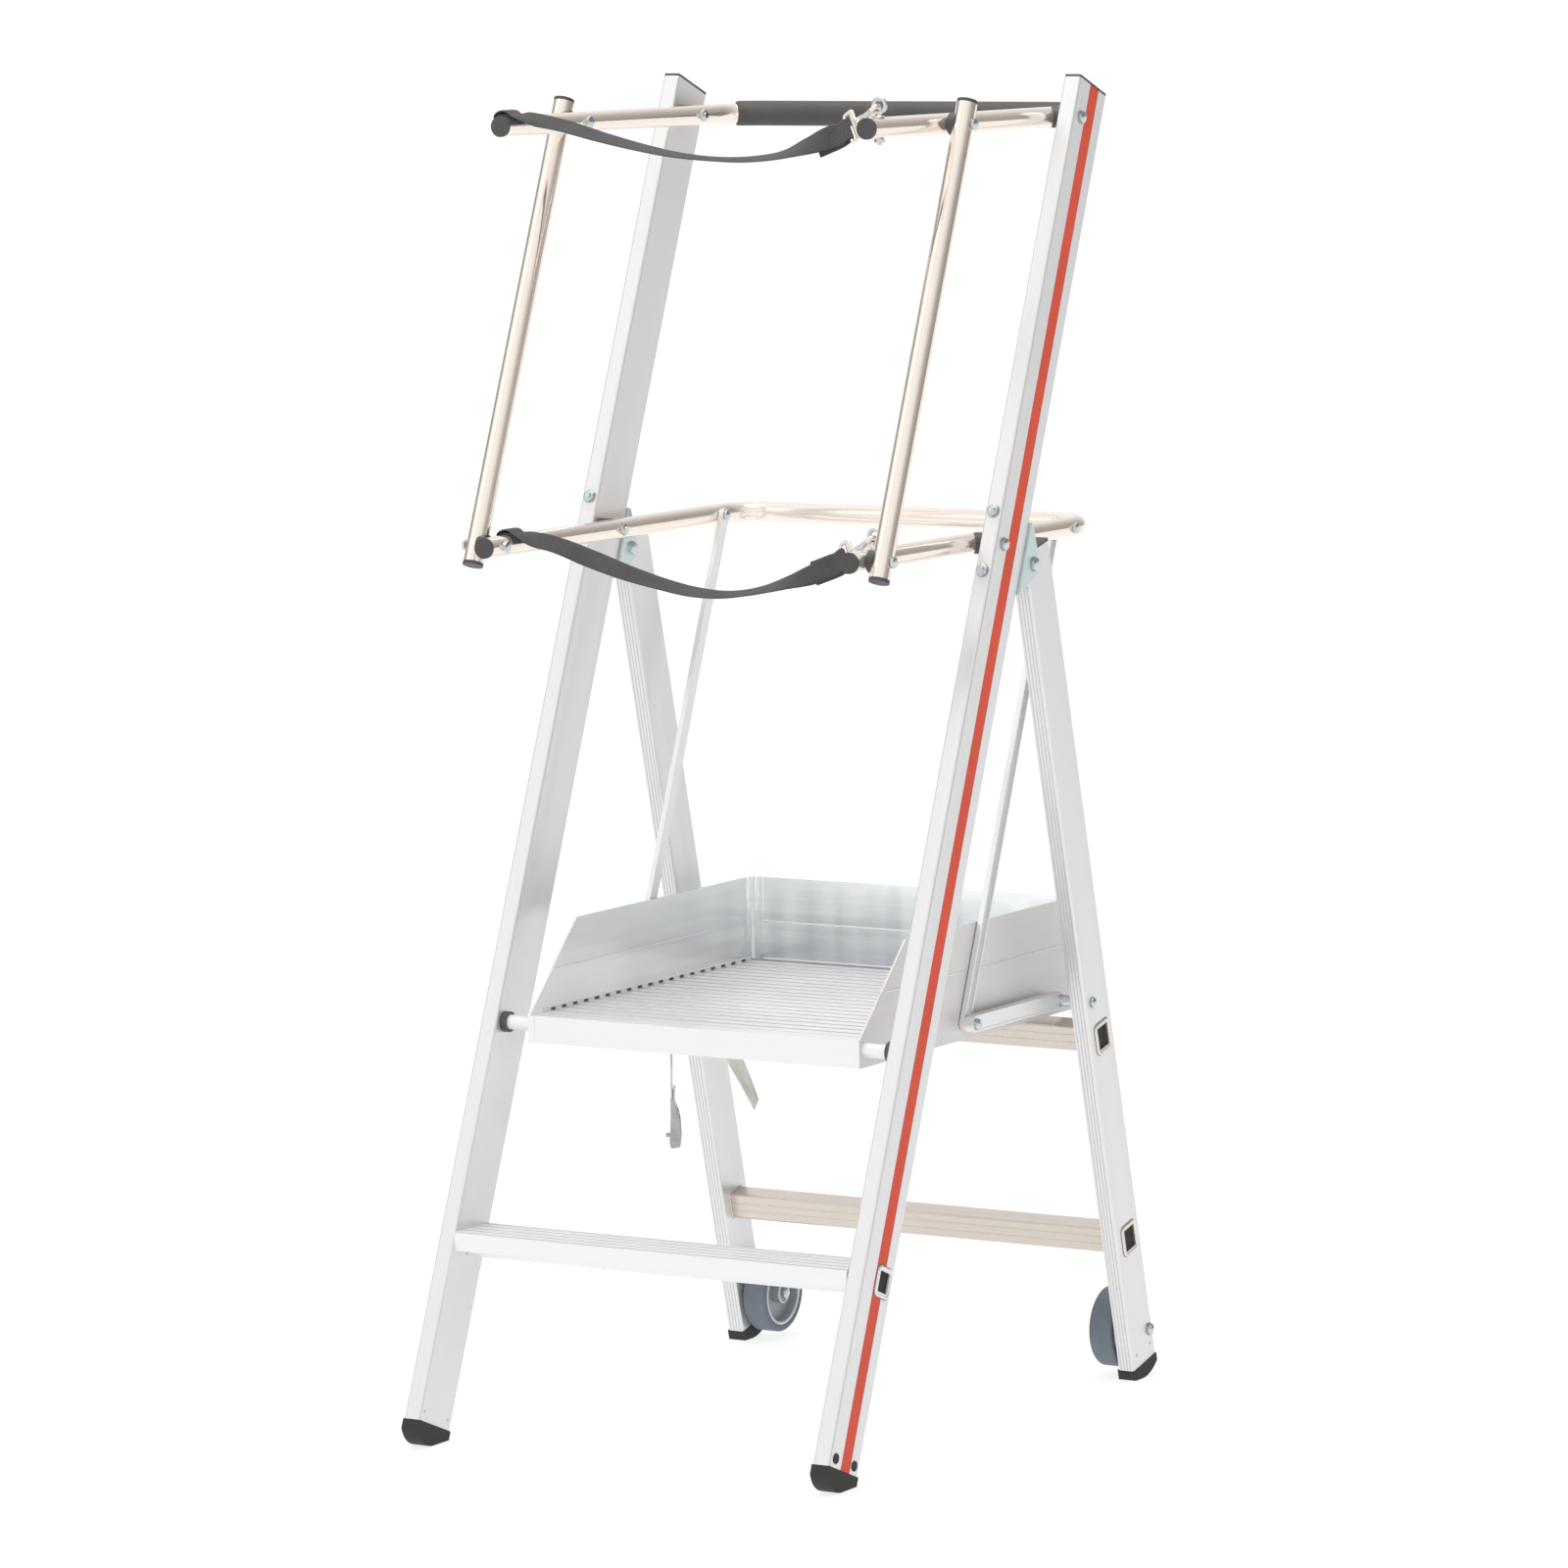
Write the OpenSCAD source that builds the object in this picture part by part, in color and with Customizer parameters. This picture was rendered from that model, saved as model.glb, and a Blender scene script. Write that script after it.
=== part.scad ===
// Podium step: a folding work platform with one tread, U-bent guard rails,
// strap closures, a hinged rear frame and two tilt wheels.
// Origin on the floor, midway across and midway between the foremost and
// rearmost points. +X is to the right of a person climbing on, +Y rearward.

/* [Platform] */
// Height of the deck's top above the floor
platform_h = 500; // [480:1:520]
// Width over the two side boards
platform_w = 460; // [420:5:520]
// Depth from the front channel to the back of the rear board
platform_d = 526; // [500:1:540]
// Height of the deck frame below the deck's top
deck_h = 33; // [32:0.5:38]
// Height of the boards above the deck
toe_h = 106; // [70:1:110]
// Depth over which the side boards rise to their full height
toe_run = 112; // [60:1:200]
// Sheet thickness of the boards
board_t = 2.5; // [2:0.1:3]
// Depth of the front channel
channel_d = 26; // [24:0.5:30]
// Wall thickness of the deck's hollow planks and the front channel
deck_wall = 2.5; // [2:0.1:2.6]
// Number of hollow cells in the deck
deck_cells = 10; // [6:1:14]
// Number of ribs across the deck's top
deck_ribs = 20; // [12:1:28]
// Height of a deck rib
rib_h = 1.6; // [1:0.1:2]
// Part of the rib spacing that a rib covers
rib_share = 0.7; // [0.4:0.05:0.8]
// Leg length of the corner angles
corner_leg = 16; // [10:1:24]
// Sheet thickness of the corner angles
corner_t = 1.5; // [1:0.1:2]

/* [Front frame] */
// Lean of the front stiles from upright, in degrees
front_lean = 21.9; // [21:0.1:22.5]
// Height of a stile's front lower corner above the floor
front_base_z = 36.5; // [35:0.5:38]
// Stile width across the frame
stile_t = 22; // [20:0.5:26]
// Stile depth
stile_d = 71; // [69:0.5:76]
// Wall thickness of all stiles
stile_wall = 2; // [1.6:0.1:2.4]
// Corner radius of all stiles
stile_r = 3; // [2.5:0.1:4]
// Inside corner radius of all hollow sections
inner_r = 1; // [0.5:0.1:1.2]
// Length of the stiles beyond the top rail's pivot
stile_over = 45; // [36:1:80]
// Distance of the pivots behind the stile's front face
pivot_inset = 19; // [18:0.5:20]
// Thickness of the stile caps
stile_cap_t = 3; // [2:0.1:3.2]
// Depth of the plugs of caps and feet
plug_h = 16; // [15:0.5:20]
// Width of the stripe on the outer faces
stripe_w = 22; // [18:0.5:24]
// Distance of the stripe behind the stile's front face
stripe_s = 28; // [26:0.5:30]
// Depth of the stripe's recess
stripe_recess = 0.6; // [0.5:0.05:0.8]
// Thickness of the stripe
stripe_t = 0.4; // [0.3:0.05:0.45]

/* [Front feet] */
// Distance of the sole's flat behind the stile's front corner
foot_toe_back = 27; // [24:0.5:30]
// Radius of the foot's rounded toe
foot_toe_r = 32; // [31:0.5:36]
// Overhang of all feet beyond the stile's sides
foot_lip = 1; // [0.4:0.1:2]
// Diameter of the locking studs
stud_d = 12.5; // [10:0.5:13]
// Height of the studs above the stile's lower end
stud_l = 11; // [10.5:0.5:11]
// Stud distances behind the stile's front face
stud_s = 13; // [12:0.5:14]
// How far a stud stands out of the stile
stud_proud = 0.8; // [0.4:0.1:1.2]

/* [Tread] */
// Height of the tread's top
tread_h = 250; // [230:1:270]
// Overhang of the tread before the stiles' front faces
tread_nose = 3; // [0:0.5:6]
// Depth of the tread
tread_d = 72.5; // [66:0.5:76]
// Height of the tread's front
tread_t = 23; // [21:0.5:26]
// Wall thickness of the tread and the rear bars
tread_wall = 2.5; // [2:0.1:3]
// Height of the tread's anti-slip ridges
ridge_h = 1; // [0.6:0.1:1.4]
// Number of ridges
ridges = 9; // [6:1:11]
// Part of the ridge spacing that a ridge covers
ridge_share = 0.45; // [0.3:0.05:0.6]
// Depth of the box end that passes through the stile
tenon_d = 28; // [26:0.5:29]
// Height of the box end along the stile
tenon_h = 30; // [28:0.5:31]
// Distance of the box end's middle behind the stile's front face
tenon_s = 48; // [46:0.5:50]
// Drop of the box end's middle below the tread's top
tenon_drop = 21; // [20.5:0.5:23]
// Corner radius of box ends and bars
tenon_r = 4; // [3.5:0.1:5]
// Width of the flared rim on the stile's outer face
flare_w = 3; // [2:0.1:3.5]
// Thickness of the flared rim
flare_t = 1.4; // [1:0.1:1.8]
// Depth of the end plugs in the box ends and bars
end_plug_h = 12; // [8:0.5:16]
// How far the end plugs sit back in the box ends
end_plug_back = 1; // [0.5:0.1:2]

/* [Platform axle] */
// Axle diameter
axle_d = 18; // [16:0.5:18.4]
// Axle wall thickness
axle_wall = 2.5; // [2:0.1:3]
// Depth of the axle's middle below the deck's top
axle_drop = 12; // [11.8:0.1:13]
// Distance of the axle's middle behind the platform's front
axle_back = 12.5; // [12.2:0.1:14]
// Diameter of the axle bush's flange
axle_flange_d = 25; // [24:0.5:28]
// Diameter of the axle bush in the stile's wall
axle_spigot_d = 22; // [21:0.1:22.5]

/* [Guard rails] */
// Tube diameter of rails and posts
tube_d = 25; // [24:0.1:26]
// Tube wall thickness
tube_wall = 2; // [1.5:0.1:2.5]
// Bend radius of the rails' middle line
bend_r = 50; // [45:1:70]
// Height of the middle rail above the deck
mid_rise = 566; // [556:1:576]
// Height of the top rail above the deck
top_rise = 1064; // [1054:1:1074]
// Reach of the middle rail before its pivot
mid_front = 291; // [289:1:298]
// Reach of the middle rail behind its pivot
mid_back = 296; // [294:1:310]
// Reach of the top rail before its pivot
top_front = 440; // [436:1:444]
// Reach of the top rail behind its pivot
top_back = 93; // [90:1:110]
// Room between a rail and a stile, taken by the saddle bush
bush_t = 8; // [7:0.5:10]
// Diameter of the saddle bushes
bush_d = 26; // [24:0.5:30]
// How far a saddle bush reaches round the tube
bush_wrap = 8; // [6:0.5:9]
// Thickness of the tube caps
tube_cap_t = 4; // [3:0.5:6]
// Outside diameter of the rail sleeve
sleeve_d = 31; // [29:0.5:34]
// Angle of each bend that the rail sleeve covers
sleeve_bend = 45; // [30:1:60]
// Reach from the rail pivots to the post pivots
post_reach = 265; // [262:1:268]
// Gap between a rail and a post
post_gap = 3.7; // [3:0.1:5]
// Diameter of the spacers in that gap
spacer_d = 27; // [20:0.5:28]
// Length of the posts below the lower pivot
post_under = 21; // [19:0.5:30]
// Length of the posts above the upper pivot
post_over = 25; // [19:0.5:30]

/* [Folding gear] */
// Reach from the rail and axle pivots to the strut pivots
strut_arm = 233; // [228:1:238]
// Strut width across the frame
strut_t = 6.4; // [6:0.1:7]
// Strut depth
strut_d = 16; // [15:0.5:20]
// Web thickness of struts and links
web_t = 2.4; // [2:0.1:2.8]
// Gap between a side board and a strut
strut_gap = 1; // [0.8:0.1:1.5]
// Gap between a strut and a rail
rail_gap = 0.6; // [0.5:0.1:1]
// Gap between a strut and a link
link_gap = 0.8; // [0.6:0.1:1]
// Link height
link_h = 20; // [19:0.5:24]
// Link depth across the frame
link_t = 12; // [11:0.5:14]
// Distance of the link's pivot behind the rear stile's front face
link_inset = 18; // [16:0.5:20]
// Diameter of the link's spacer
link_spacer_d = 14; // [12:0.5:15]

/* [Rear frame] */
// Lean of the rear stiles from upright, in degrees
rear_lean = 14.2; // [13.6:0.1:14.6]
// Depth of the rear stiles
rear_d = 59.5; // [58:0.5:62]
// Height of a rear stile's front lower corner above the floor
rear_base_z = 12; // [11.5:0.5:14]
// Height of the lower bar's middle
lower_bar_h = 182; // [172:1:200]
// Height of the upper bar's middle
upper_bar_h = 443; // [432:1:443]
// Distance of the bars' middle behind the rear stile's front face
bar_inset = 31; // [29:0.5:32]
// Bar depth
bar_d = 30; // [28:0.5:32]
// Bar height
bar_h = 33; // [30:0.5:34]
// Distance of the foot's heel radius behind the stile's front corner
heel_back = 20; // [18:0.5:24]
// Radius of the foot's rounded heel
heel_r = 56; // [50:1:60]
// Number of fine grooves on the stile's front face
grooves = 4; // [3:1:5]
// Width of a groove
groove_w = 1.2; // [1:0.1:1.4]
// Depth of a groove
groove_t = 0.4; // [0.3:0.05:0.6]

/* [Hinge] */
// Distance of the hinge behind the front stile's rear face
hinge_back = 22; // [21.8:0.1:23]
// Distance of the hinge below the middle rail's pivot, along the stile
hinge_drop = 2; // [0:0.5:6]
// Distance of the hinge behind the rear stile's front face
hinge_inset = 10.5; // [10:0.1:10.7]
// Length of the rear stile above the hinge
hinge_over = 14; // [12:0.1:14.2]
// Hinge pin diameter
hinge_pin_d = 10; // [8:0.5:10.5]
// Bracket plate thickness
plate_t = 3; // [2.5:0.1:3.2]
// Bracket length along the front stile
bracket_h = 90; // [86:1:100]
// Bracket bolt distance from the bracket's middle
bracket_bolt_l = 37; // [35:0.5:38]
// Radius of the bracket's ears round the hinge
ear_r = 14; // [12:0.5:16]
// Gap between the bracket's ears and the rear stile
ear_gap = 0.4; // [0.3:0.05:0.6]

/* [Wheels] */
// Wheel diameter
wheel_d = 100; // [92:1:104]
// Wheel width
wheel_w = 32; // [28:1:33]
// Height of the wheel above the floor
wheel_lift = 9; // [8:0.5:14]
// Distance of the wheel's axle before the rear stile's rear face
wheel_inset = 9; // [8:0.5:12]
// Gap between wheel and stile
wheel_gap = 5; // [4:0.5:7]
// Thickness of the tyre
tyre_t = 8; // [8:0.5:10]
// Corner radius of the tyre
tyre_r = 4; // [2:0.5:4]
// Thickness of the hub's rim
rim_t = 5; // [4:0.5:6]
// How much narrower the rim is than the tyre, on each side
rim_in = 1.5; // [1:0.1:2]
// Thickness of the hub's web
wheel_web_t = 8; // [6:0.5:10]
// Diameter of the hub's boss
boss_d = 27; // [24:0.5:30]

/* [Bolts] */
// Diameter of the pivot bolts
bolt_d = 8; // [7:0.1:8.2]
// Across-flats width of bolt heads and nuts
hex_af = 13; // [12.5:0.5:14]
// Height of bolt heads and nuts
head_h = 4.5; // [4:0.5:5]
// Diameter of the platform's pivot pins
pin_d = 8; // [7:0.5:9]
// Head diameter of the platform's pivot pins
pin_head_d = 12; // [10:0.5:12]

/* [Strap fittings] */
// Shank diameter of the eye bolts
eye_shank_d = 6; // [5:0.1:6.5]
// Rod diameter of the eyes
eye_rod_d = 5; // [4.5:0.1:5]
// Radius of an eye's middle line
eye_r = 8; // [8:0.1:8.6]
// Height of an eye's middle above the rail's middle line
eye_rise = 26; // [25.5:0.1:27]
// Distance of the middle rail's eyes behind the tube's end
mid_eye_back = 60; // [58:0.5:62]
// Distance of the top rail's eyes behind the tube's end
top_eye_back = 28; // [26:0.5:30]
// Slope of a hook below level, in degrees
hook_slope = 34; // [32:1:36]
// Rod diameter of the hooks
hook_rod_d = 4.4; // [4:0.1:4.6]
// Radius of a hook's middle line
hook_r = 6; // [5.8:0.1:6.4]
// Length of a hook's open side
hook_l = 20; // [18:0.5:22]
// Length of a hook's tip
tip_l = 3; // [2:0.5:4]
// Width of a hook's block
block_w = 9; // [8:0.5:10]
// Length of a hook's block
block_l = 6; // [5:0.5:8]
// Thickness of the gate's two cheeks
cheek_t = 1.5; // [1.2:0.1:2]
// Pin diameter of the gate
gate_pin_d = 2; // [1.8:0.1:2.4]
// Hub diameter of the gate
gate_hub_d = 5.5; // [5:0.1:6]
// Width of the slot for the webbing
slot_w = 31; // [30:0.5:33]
// Length of the slot for the webbing
slot_l = 8; // [6:0.5:10]
// Bar thickness round the slot
slot_bar = 4; // [3.5:0.1:4.5]
// Webbing width of the closures
closure_w = 29; // [25:0.5:29.5]
// Webbing width of the carrying strap
band_w = 25; // [22:0.5:26]
// Webbing thickness
band_t = 2; // [1.6:0.1:2.2]

/* [Carrying strap] */
// Height of the keeper's opening under the deck
keeper_h = 3; // [2.8:0.1:4]
// Width of the keeper's opening
keeper_w = 29; // [28:0.5:34]
// Sheet thickness of the keeper
keeper_t = 2; // [1.5:0.1:2.5]
// Width of the keeper along the strap
keeper_l = 18; // [12:1:24]
// Buckle length
buckle_l = 62; // [58:1:64]
// Buckle width inside its cheeks
buckle_w = 27; // [26.5:0.5:29]
// Buckle depth
buckle_d = 11; // [10:0.5:13]
// Sheet thickness of the buckle
buckle_t = 1.6; // [1.4:0.1:2]
// Distance of the lever's pin below the buckle's upper end
lever_drop = 22; // [20:0.5:26]
// Pin diameter of the lever
lever_pin_d = 4; // [3.5:0.1:4.5]
// Hub diameter of the lever
lever_hub_d = 7; // [6.5:0.1:7]
// Length of the lever
lever_l = 38; // [30:1:44]

/* [Clearances] */
// Clearance of pins and bolts in their bores, on the radius
run_clear = 0.05; // [0.03:0.01:0.08]
// Clearance of fixed fits, on each side
fit_clear = 0.1; // [0.05:0.01:0.15]
// Gap between faces that move past each other
face_gap = 0.4; // [0.3:0.05:0.6]
// Overrun of cuts
cut = 1; // [0.5:0.1:1.2]

/* [Hidden] */
$fn = 48;
steel_tint = [0.78, 0.76, 0.75];
bright = [0.9, 0.9, 0.92];
zinc = [0.72, 0.74, 0.78];
black = [0.08, 0.08, 0.09];
red = [0.75, 0.1, 0.12];
grey_tyre = [0.42, 0.46, 0.52];
grey_hub = [0.6, 0.62, 0.65];
webbing_grey = [0.62, 0.6, 0.57];

board_x = platform_w / 2;
strut_x = board_x + strut_gap;
rail_x = strut_x + strut_t + rail_gap + tube_d / 2;
inner_x = rail_x + tube_d / 2 + bush_t;
outer_x = inner_x + stile_t;
post_x = rail_x + tube_d + post_gap;
link_x = strut_x + strut_t + link_gap;
bore_d = bolt_d + 2 * run_clear;

// Points in the side view, [rearward, up], measured from the front stile's
// front lower corner and the floor.
function front_at(s, l) =
    [s * cos(front_lean) + l * sin(front_lean),
     front_base_z - s * sin(front_lean) + l * cos(front_lean)];
function front_along(s, z) = (z - front_base_z + s * sin(front_lean)) / cos(front_lean);

axle_z = platform_h - axle_drop;
mid_z = platform_h + mid_rise;
top_z = platform_h + top_rise;
axle_l = front_along(pivot_inset, axle_z);
mid_l = front_along(pivot_inset, mid_z);
top_l = front_along(pivot_inset, top_z);
axle_y = front_at(pivot_inset, axle_l)[0];
mid_pivot_y = front_at(pivot_inset, mid_l)[0];
top_pivot_y = front_at(pivot_inset, top_l)[0];
stile_len = top_l + stile_over;
hinge_l = mid_l - hinge_drop;
hinge_s = stile_d + hinge_back;
hinge_p = front_at(hinge_s, hinge_l);
deck_y = axle_y - axle_back;
deck_bottom = platform_h - deck_h;
tenon_l = front_along(tenon_s, tread_h - tenon_drop);
tread_y = front_at(0, front_along(0, tread_h))[0] - tread_nose;
strut_y = axle_y + strut_arm;
strut_len = norm(front_at(0, mid_l) - front_at(0, axle_l));
post_len = norm(front_at(0, top_l) - front_at(0, mid_l));

function rear_at(s, l) =
    [hinge_p[0] + s * cos(rear_lean) - l * sin(rear_lean),
     hinge_p[1] + s * sin(rear_lean) + l * cos(rear_lean)];
function rear_along(s, z) = (z - hinge_p[1] - s * sin(rear_lean)) / cos(rear_lean);

rear_low_l = rear_along(-hinge_inset, rear_base_z);
rear_corner_y = rear_at(-hinge_inset, rear_low_l)[0];
link_s = link_inset - hinge_inset;
link_l = rear_along(link_s, axle_z);
link_y = rear_at(link_s, link_l)[0];
link_len = link_y - strut_y;
bar_s = bar_inset - hinge_inset;
wheel_s = rear_d - hinge_inset - wheel_inset;
wheel_l = rear_along(wheel_s, wheel_d / 2 + wheel_lift);
wheel_y = rear_at(wheel_s, wheel_l)[0];
wheel_x = inner_x - wheel_gap - wheel_w;

toe_drop = front_base_z - foot_toe_r;
toe_half = toe_drop * cos(front_lean) - foot_toe_back * sin(front_lean);
toe_rest = foot_toe_back * foot_toe_back + toe_drop * toe_drop - foot_toe_r * foot_toe_r;
toe_l = -toe_half - sqrt(toe_half * toe_half - toe_rest);
mid_y = (toe_l * sin(front_lean) + wheel_y + wheel_d / 2) / 2;
foot_reach = 2 * front_base_z;

mid_front_y = mid_pivot_y - mid_front;
top_front_y = top_pivot_y - top_front;
mid_eye_y = mid_front_y + mid_eye_back;
top_eye_y = top_front_y + top_eye_back;
rail_inner = [rail_x - tube_d / 2, rail_x + tube_d / 2];
slot_u = eye_r + hook_l + block_l;
gate_u = eye_r + hook_l - gate_hub_d / 2;
gate_tip_u = eye_r + tip_l + face_gap;

// Flat loop at a closure's start: angle round the left tube and rise above the tube
fold_turn = [8, 30, 52, 74, 96, 118, 133, 140.5, 133, 114, 94, 74, 56];
fold_rise = [1.4, 1.4, 1.4, 1.4, 1.4, 1.4, 1.45, 2.9, 4.4, 5.4, 5.7, 5.3, 4.4];
// Webbing routes with the direction of the webbing's width at each point
top_run = [[-232, -208, 1576.4], [-215, -204, 1571.8], [-180, -200, 1564.6], [-130, -199, 1552],
           [-80, -197, 1540.6], [-30, -194, 1531.3], [20, -191, 1526.6], [70, -189, 1526.4],
           [110, -190, 1530.9], [150, -192, 1542.1], [185, -195, 1552.7], [213, -196, 1565]];
top_width = [[0, 1, 0.2], [0, 1, 0.46], [0, 1, 0.43], [0, 1, 0.315], [0, 1, 0.2], [0, 1, 0.115],
             [0, 1, 0.09], [0, 1, 0.2], [0, 1, 0.355], [-0.2, 0.7, 0.6], [-0.4, 0.3, 0.8],
             [-0.56, 0, 0.83]];
mid_run = [[-232, -217, 1078], [-215, -219, 1073.8], [-180, -224, 1067.6], [-130, -229, 1053.6],
           [-80, -233, 1039.7], [-30, -236, 1028.5], [20, -238, 1020.3], [60, -238, 1019],
           [100, -235, 1024.6], [140, -230, 1035.8], [180, -221, 1049.9], [213, -215, 1067]];
mid_width = [[0, 1, 0.2], [0, 1, 0.53], [0, 1, 0.57], [0, 1, 0.67], [0, 1, 0.53], [0, 1, 0.355],
             [0, 1, 0.28], [0, 1, 0.215], [0, 1, 0.28], [-0.15, 0.8, 0.52], [-0.4, 0.4, 0.8],
             [-0.56, 0, 0.83]];
carry_route = [[-158, -18, 376], [-158, -18, 410], [-157, -18, 440], [-152, -18, 458],
               [-140, -18, 468], [-115, -18, 468], [-85, -18, 468], [-72, -18, 460],
               [-60, -18, 443], [-49, -18, 421], [-38, -18, 397], [-29, -18, 373]];
carry_width = [[-0.5, 0.86, 0], [-0.5, 0.86, 0], [-0.4, 0.9, 0], [-0.2, 1, 0], [0, 1, 0],
               [0, 1, 0], [0, 1, 0], [0, 1, 0], [0, 1, 0], [0, 1, 0], [0, 1, 0], [0, 1, 0]];
buckle_p = carry_route[0];
buckle_turn = 30;
ear_turn = 35;

module centred() translate([0, -mid_y, 0]) children();
module in_front() centred() translate([0, 0, front_base_z]) rotate([-front_lean, 0, 0]) children();
module in_rear() centred() translate([0, hinge_p[0], hinge_p[1]]) rotate([rear_lean, 0, 0]) children();
module at_side(y, z) centred() translate([0, y, z]) children();
module left() mirror([1, 0, 0]) children();
module both() {
    children();
    left() children();
}

module x_rod(x0, x1, d) translate([x0, 0, 0]) rotate([0, 90, 0]) cylinder(d = d, h = x1 - x0);
module x_hex(x0, x1) translate([x0, 0, 0]) rotate([0, 90, 0]) cylinder(d = hex_af / cos(30), h = x1 - x0, $fn = 6);
module along_x(x0, x1) translate([x0, 0, 0]) rotate([90, 0, 90]) linear_extrude(x1 - x0) children();

module rounded(w, h, r) {
    translate([r, 0])
        square([w - 2 * r, h]);
    translate([0, r])
        square([w, h - 2 * r]);
    for (x = [r, w - r], y = [r, h - r])
        translate([x, y])
            circle(r);
}

module centred_rounded(w, h, r) translate([-w / 2, -h / 2]) rounded(w, h, r);

module hollow(w, h, r, wall) difference() {
    rounded(w, h, r);
    translate([wall, wall])
        rounded(w - 2 * wall, h - 2 * wall, inner_r);
}

module ring(d, wall) difference() {
    circle(d = d);
    circle(d = d - 2 * wall);
}

// Box end of a bar in a stile's own frame, across the whole frame
module box_run(x0, x1, d, h, r) along_x(x0, x1) centred_rounded(d, h, r);

function unit(v) = v / norm(v);
function run_of(r, i) = unit(r[min(i + 1, len(r) - 1)] - r[max(i - 1, 0)]);
function corners(c, t, side, w) =
    let (n = unit(cross(t, side)), v = unit(cross(n, t)))
    [c + v * w / 2 + n * band_t / 2, c - v * w / 2 + n * band_t / 2,
     c - v * w / 2 - n * band_t / 2, c + v * w / 2 - n * band_t / 2];

// Flat webbing swept along a route
module band(route, sides, w) {
    last = len(route) - 1;
    points = [for (i = [0:last])
        each corners(route[i], run_of(route, i), sides[i], w)];
    walls = [for (i = [0:last - 1], k = [0:3])
        let (a = 4 * i + k, b = 4 * i + (k + 1) % 4)
        each k < 2 ? [[a, b, b + 4], [a, b + 4, a + 4]] : [[a, b, a + 4], [b, b + 4, a + 4]]];
    ends = [[3, 2, 1, 0], [4 * last, 4 * last + 1, 4 * last + 2, 4 * last + 3]];
    polyhedron(points, concat(walls, ends));
}

module front_stile() in_front() difference() {
    translate([inner_x, 0, 0])
        linear_extrude(stile_len)
            difference() {
                hollow(stile_t, stile_d, stile_r, stile_wall);
                translate([stile_t - stripe_recess, stripe_s])
                    square([stripe_recess + cut, stripe_w]);
            }
    for (l = [mid_l, top_l])
        translate([0, pivot_inset, l])
            x_rod(inner_x - cut, outer_x + cut, bolt_d + 2 * fit_clear);
    translate([0, pivot_inset, axle_l])
        x_rod(inner_x - cut, inner_x + stile_wall + cut, axle_spigot_d + 2 * fit_clear);
    translate([0, tenon_s, tenon_l])
        box_run(inner_x - cut, outer_x + cut, tenon_d + 2 * fit_clear, tenon_h + 2 * fit_clear,
                tenon_r + fit_clear);
    for (side = [-1, 1])
        translate([inner_x + stile_t / 2, -cut, hinge_l + side * bracket_bolt_l])
            rotate([-90, 0, 0])
                cylinder(d = bolt_d + 2 * fit_clear, h = stile_d + 2 * cut);
    for (s = [stud_s, stile_d - stud_s])
        translate([0, s, stud_l])
            x_rod(outer_x - stile_wall - cut, outer_x + cut, stud_d + 2 * fit_clear);
}
module left_front_stile() color(bright) left() front_stile();
module right_front_stile() color(bright) front_stile();

module stile_stripes() color(red) both() in_front() difference() {
    translate([outer_x - stripe_recess, stripe_s + fit_clear, 0])
        cube([stripe_t, stripe_w - 2 * fit_clear, stile_len]);
    translate([0, tenon_s, tenon_l])
        box_run(inner_x, outer_x + cut, tenon_d + 2 * fit_clear, tenon_h + 2 * fit_clear,
                tenon_r + fit_clear);
    for (s = [stud_s, stile_d - stud_s])
        translate([0, s, stud_l])
            x_rod(inner_x, outer_x + cut, stud_d + 2 * fit_clear);
    for (l = [mid_l, top_l])
        translate([0, pivot_inset, l])
            x_rod(inner_x, outer_x + cut, hex_af / cos(30) + 2 * fit_clear);
}

// Cap over a stile's end: a plate with a plug inside the section
module section_cap(d, t) {
    linear_extrude(t)
        rounded(stile_t, d, stile_r);
    translate([stile_wall + fit_clear, stile_wall + fit_clear, -plug_h])
        linear_extrude(plug_h)
            rounded(stile_t - 2 * stile_wall - 2 * fit_clear, d - 2 * stile_wall - 2 * fit_clear, inner_r);
}

module front_top_caps() color(black) both() in_front()
    translate([inner_x, 0, stile_len])
        section_cap(stile_d, stile_cap_t);

module sole(toe_y, r, span, forward) {
    translate([toe_y, r])
        circle(r);
    translate([forward ? toe_y : toe_y - span, 0])
        square([span, span]);
}

module front_foot() {
    centred()
        along_x(inner_x - foot_lip, outer_x + foot_lip)
            intersection() {
                sole(foot_toe_back, foot_toe_r, foot_reach + stile_d, true);
                translate([0, front_base_z])
                    rotate(-front_lean)
                        translate([0, -foot_reach])
                            square([stile_d, foot_reach]);
            }
    in_front() {
        translate([inner_x + stile_wall + fit_clear, stile_wall + fit_clear, 0])
            linear_extrude(plug_h)
                rounded(stile_t - 2 * stile_wall - 2 * fit_clear, stile_d - 2 * stile_wall - 2 * fit_clear,
                        inner_r);
        for (s = [stud_s, stile_d - stud_s])
            translate([0, s, stud_l])
                x_rod(outer_x - stile_t / 2, outer_x + stud_proud, stud_d);
    }
}
module left_front_foot() color(black) left() front_foot();
module right_front_foot() color(black) front_foot();

module tread_outline() {
    translate([tread_y, tread_h - tread_t])
        square([tread_d, tread_t - ridge_h]);
    for (i = [0:ridges - 1])
        translate([tread_y + (i + (1 - ridge_share) / 2) * tread_d / ridges, tread_h - 2 * ridge_h])
            square([ridge_share * tread_d / ridges, 2 * ridge_h]);
}

module tenon_outline(grow) translate(front_at(tenon_s, tenon_l)) rotate(-front_lean)
    centred_rounded(tenon_d + 2 * grow, tenon_h + 2 * grow, tenon_r + grow);

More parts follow.
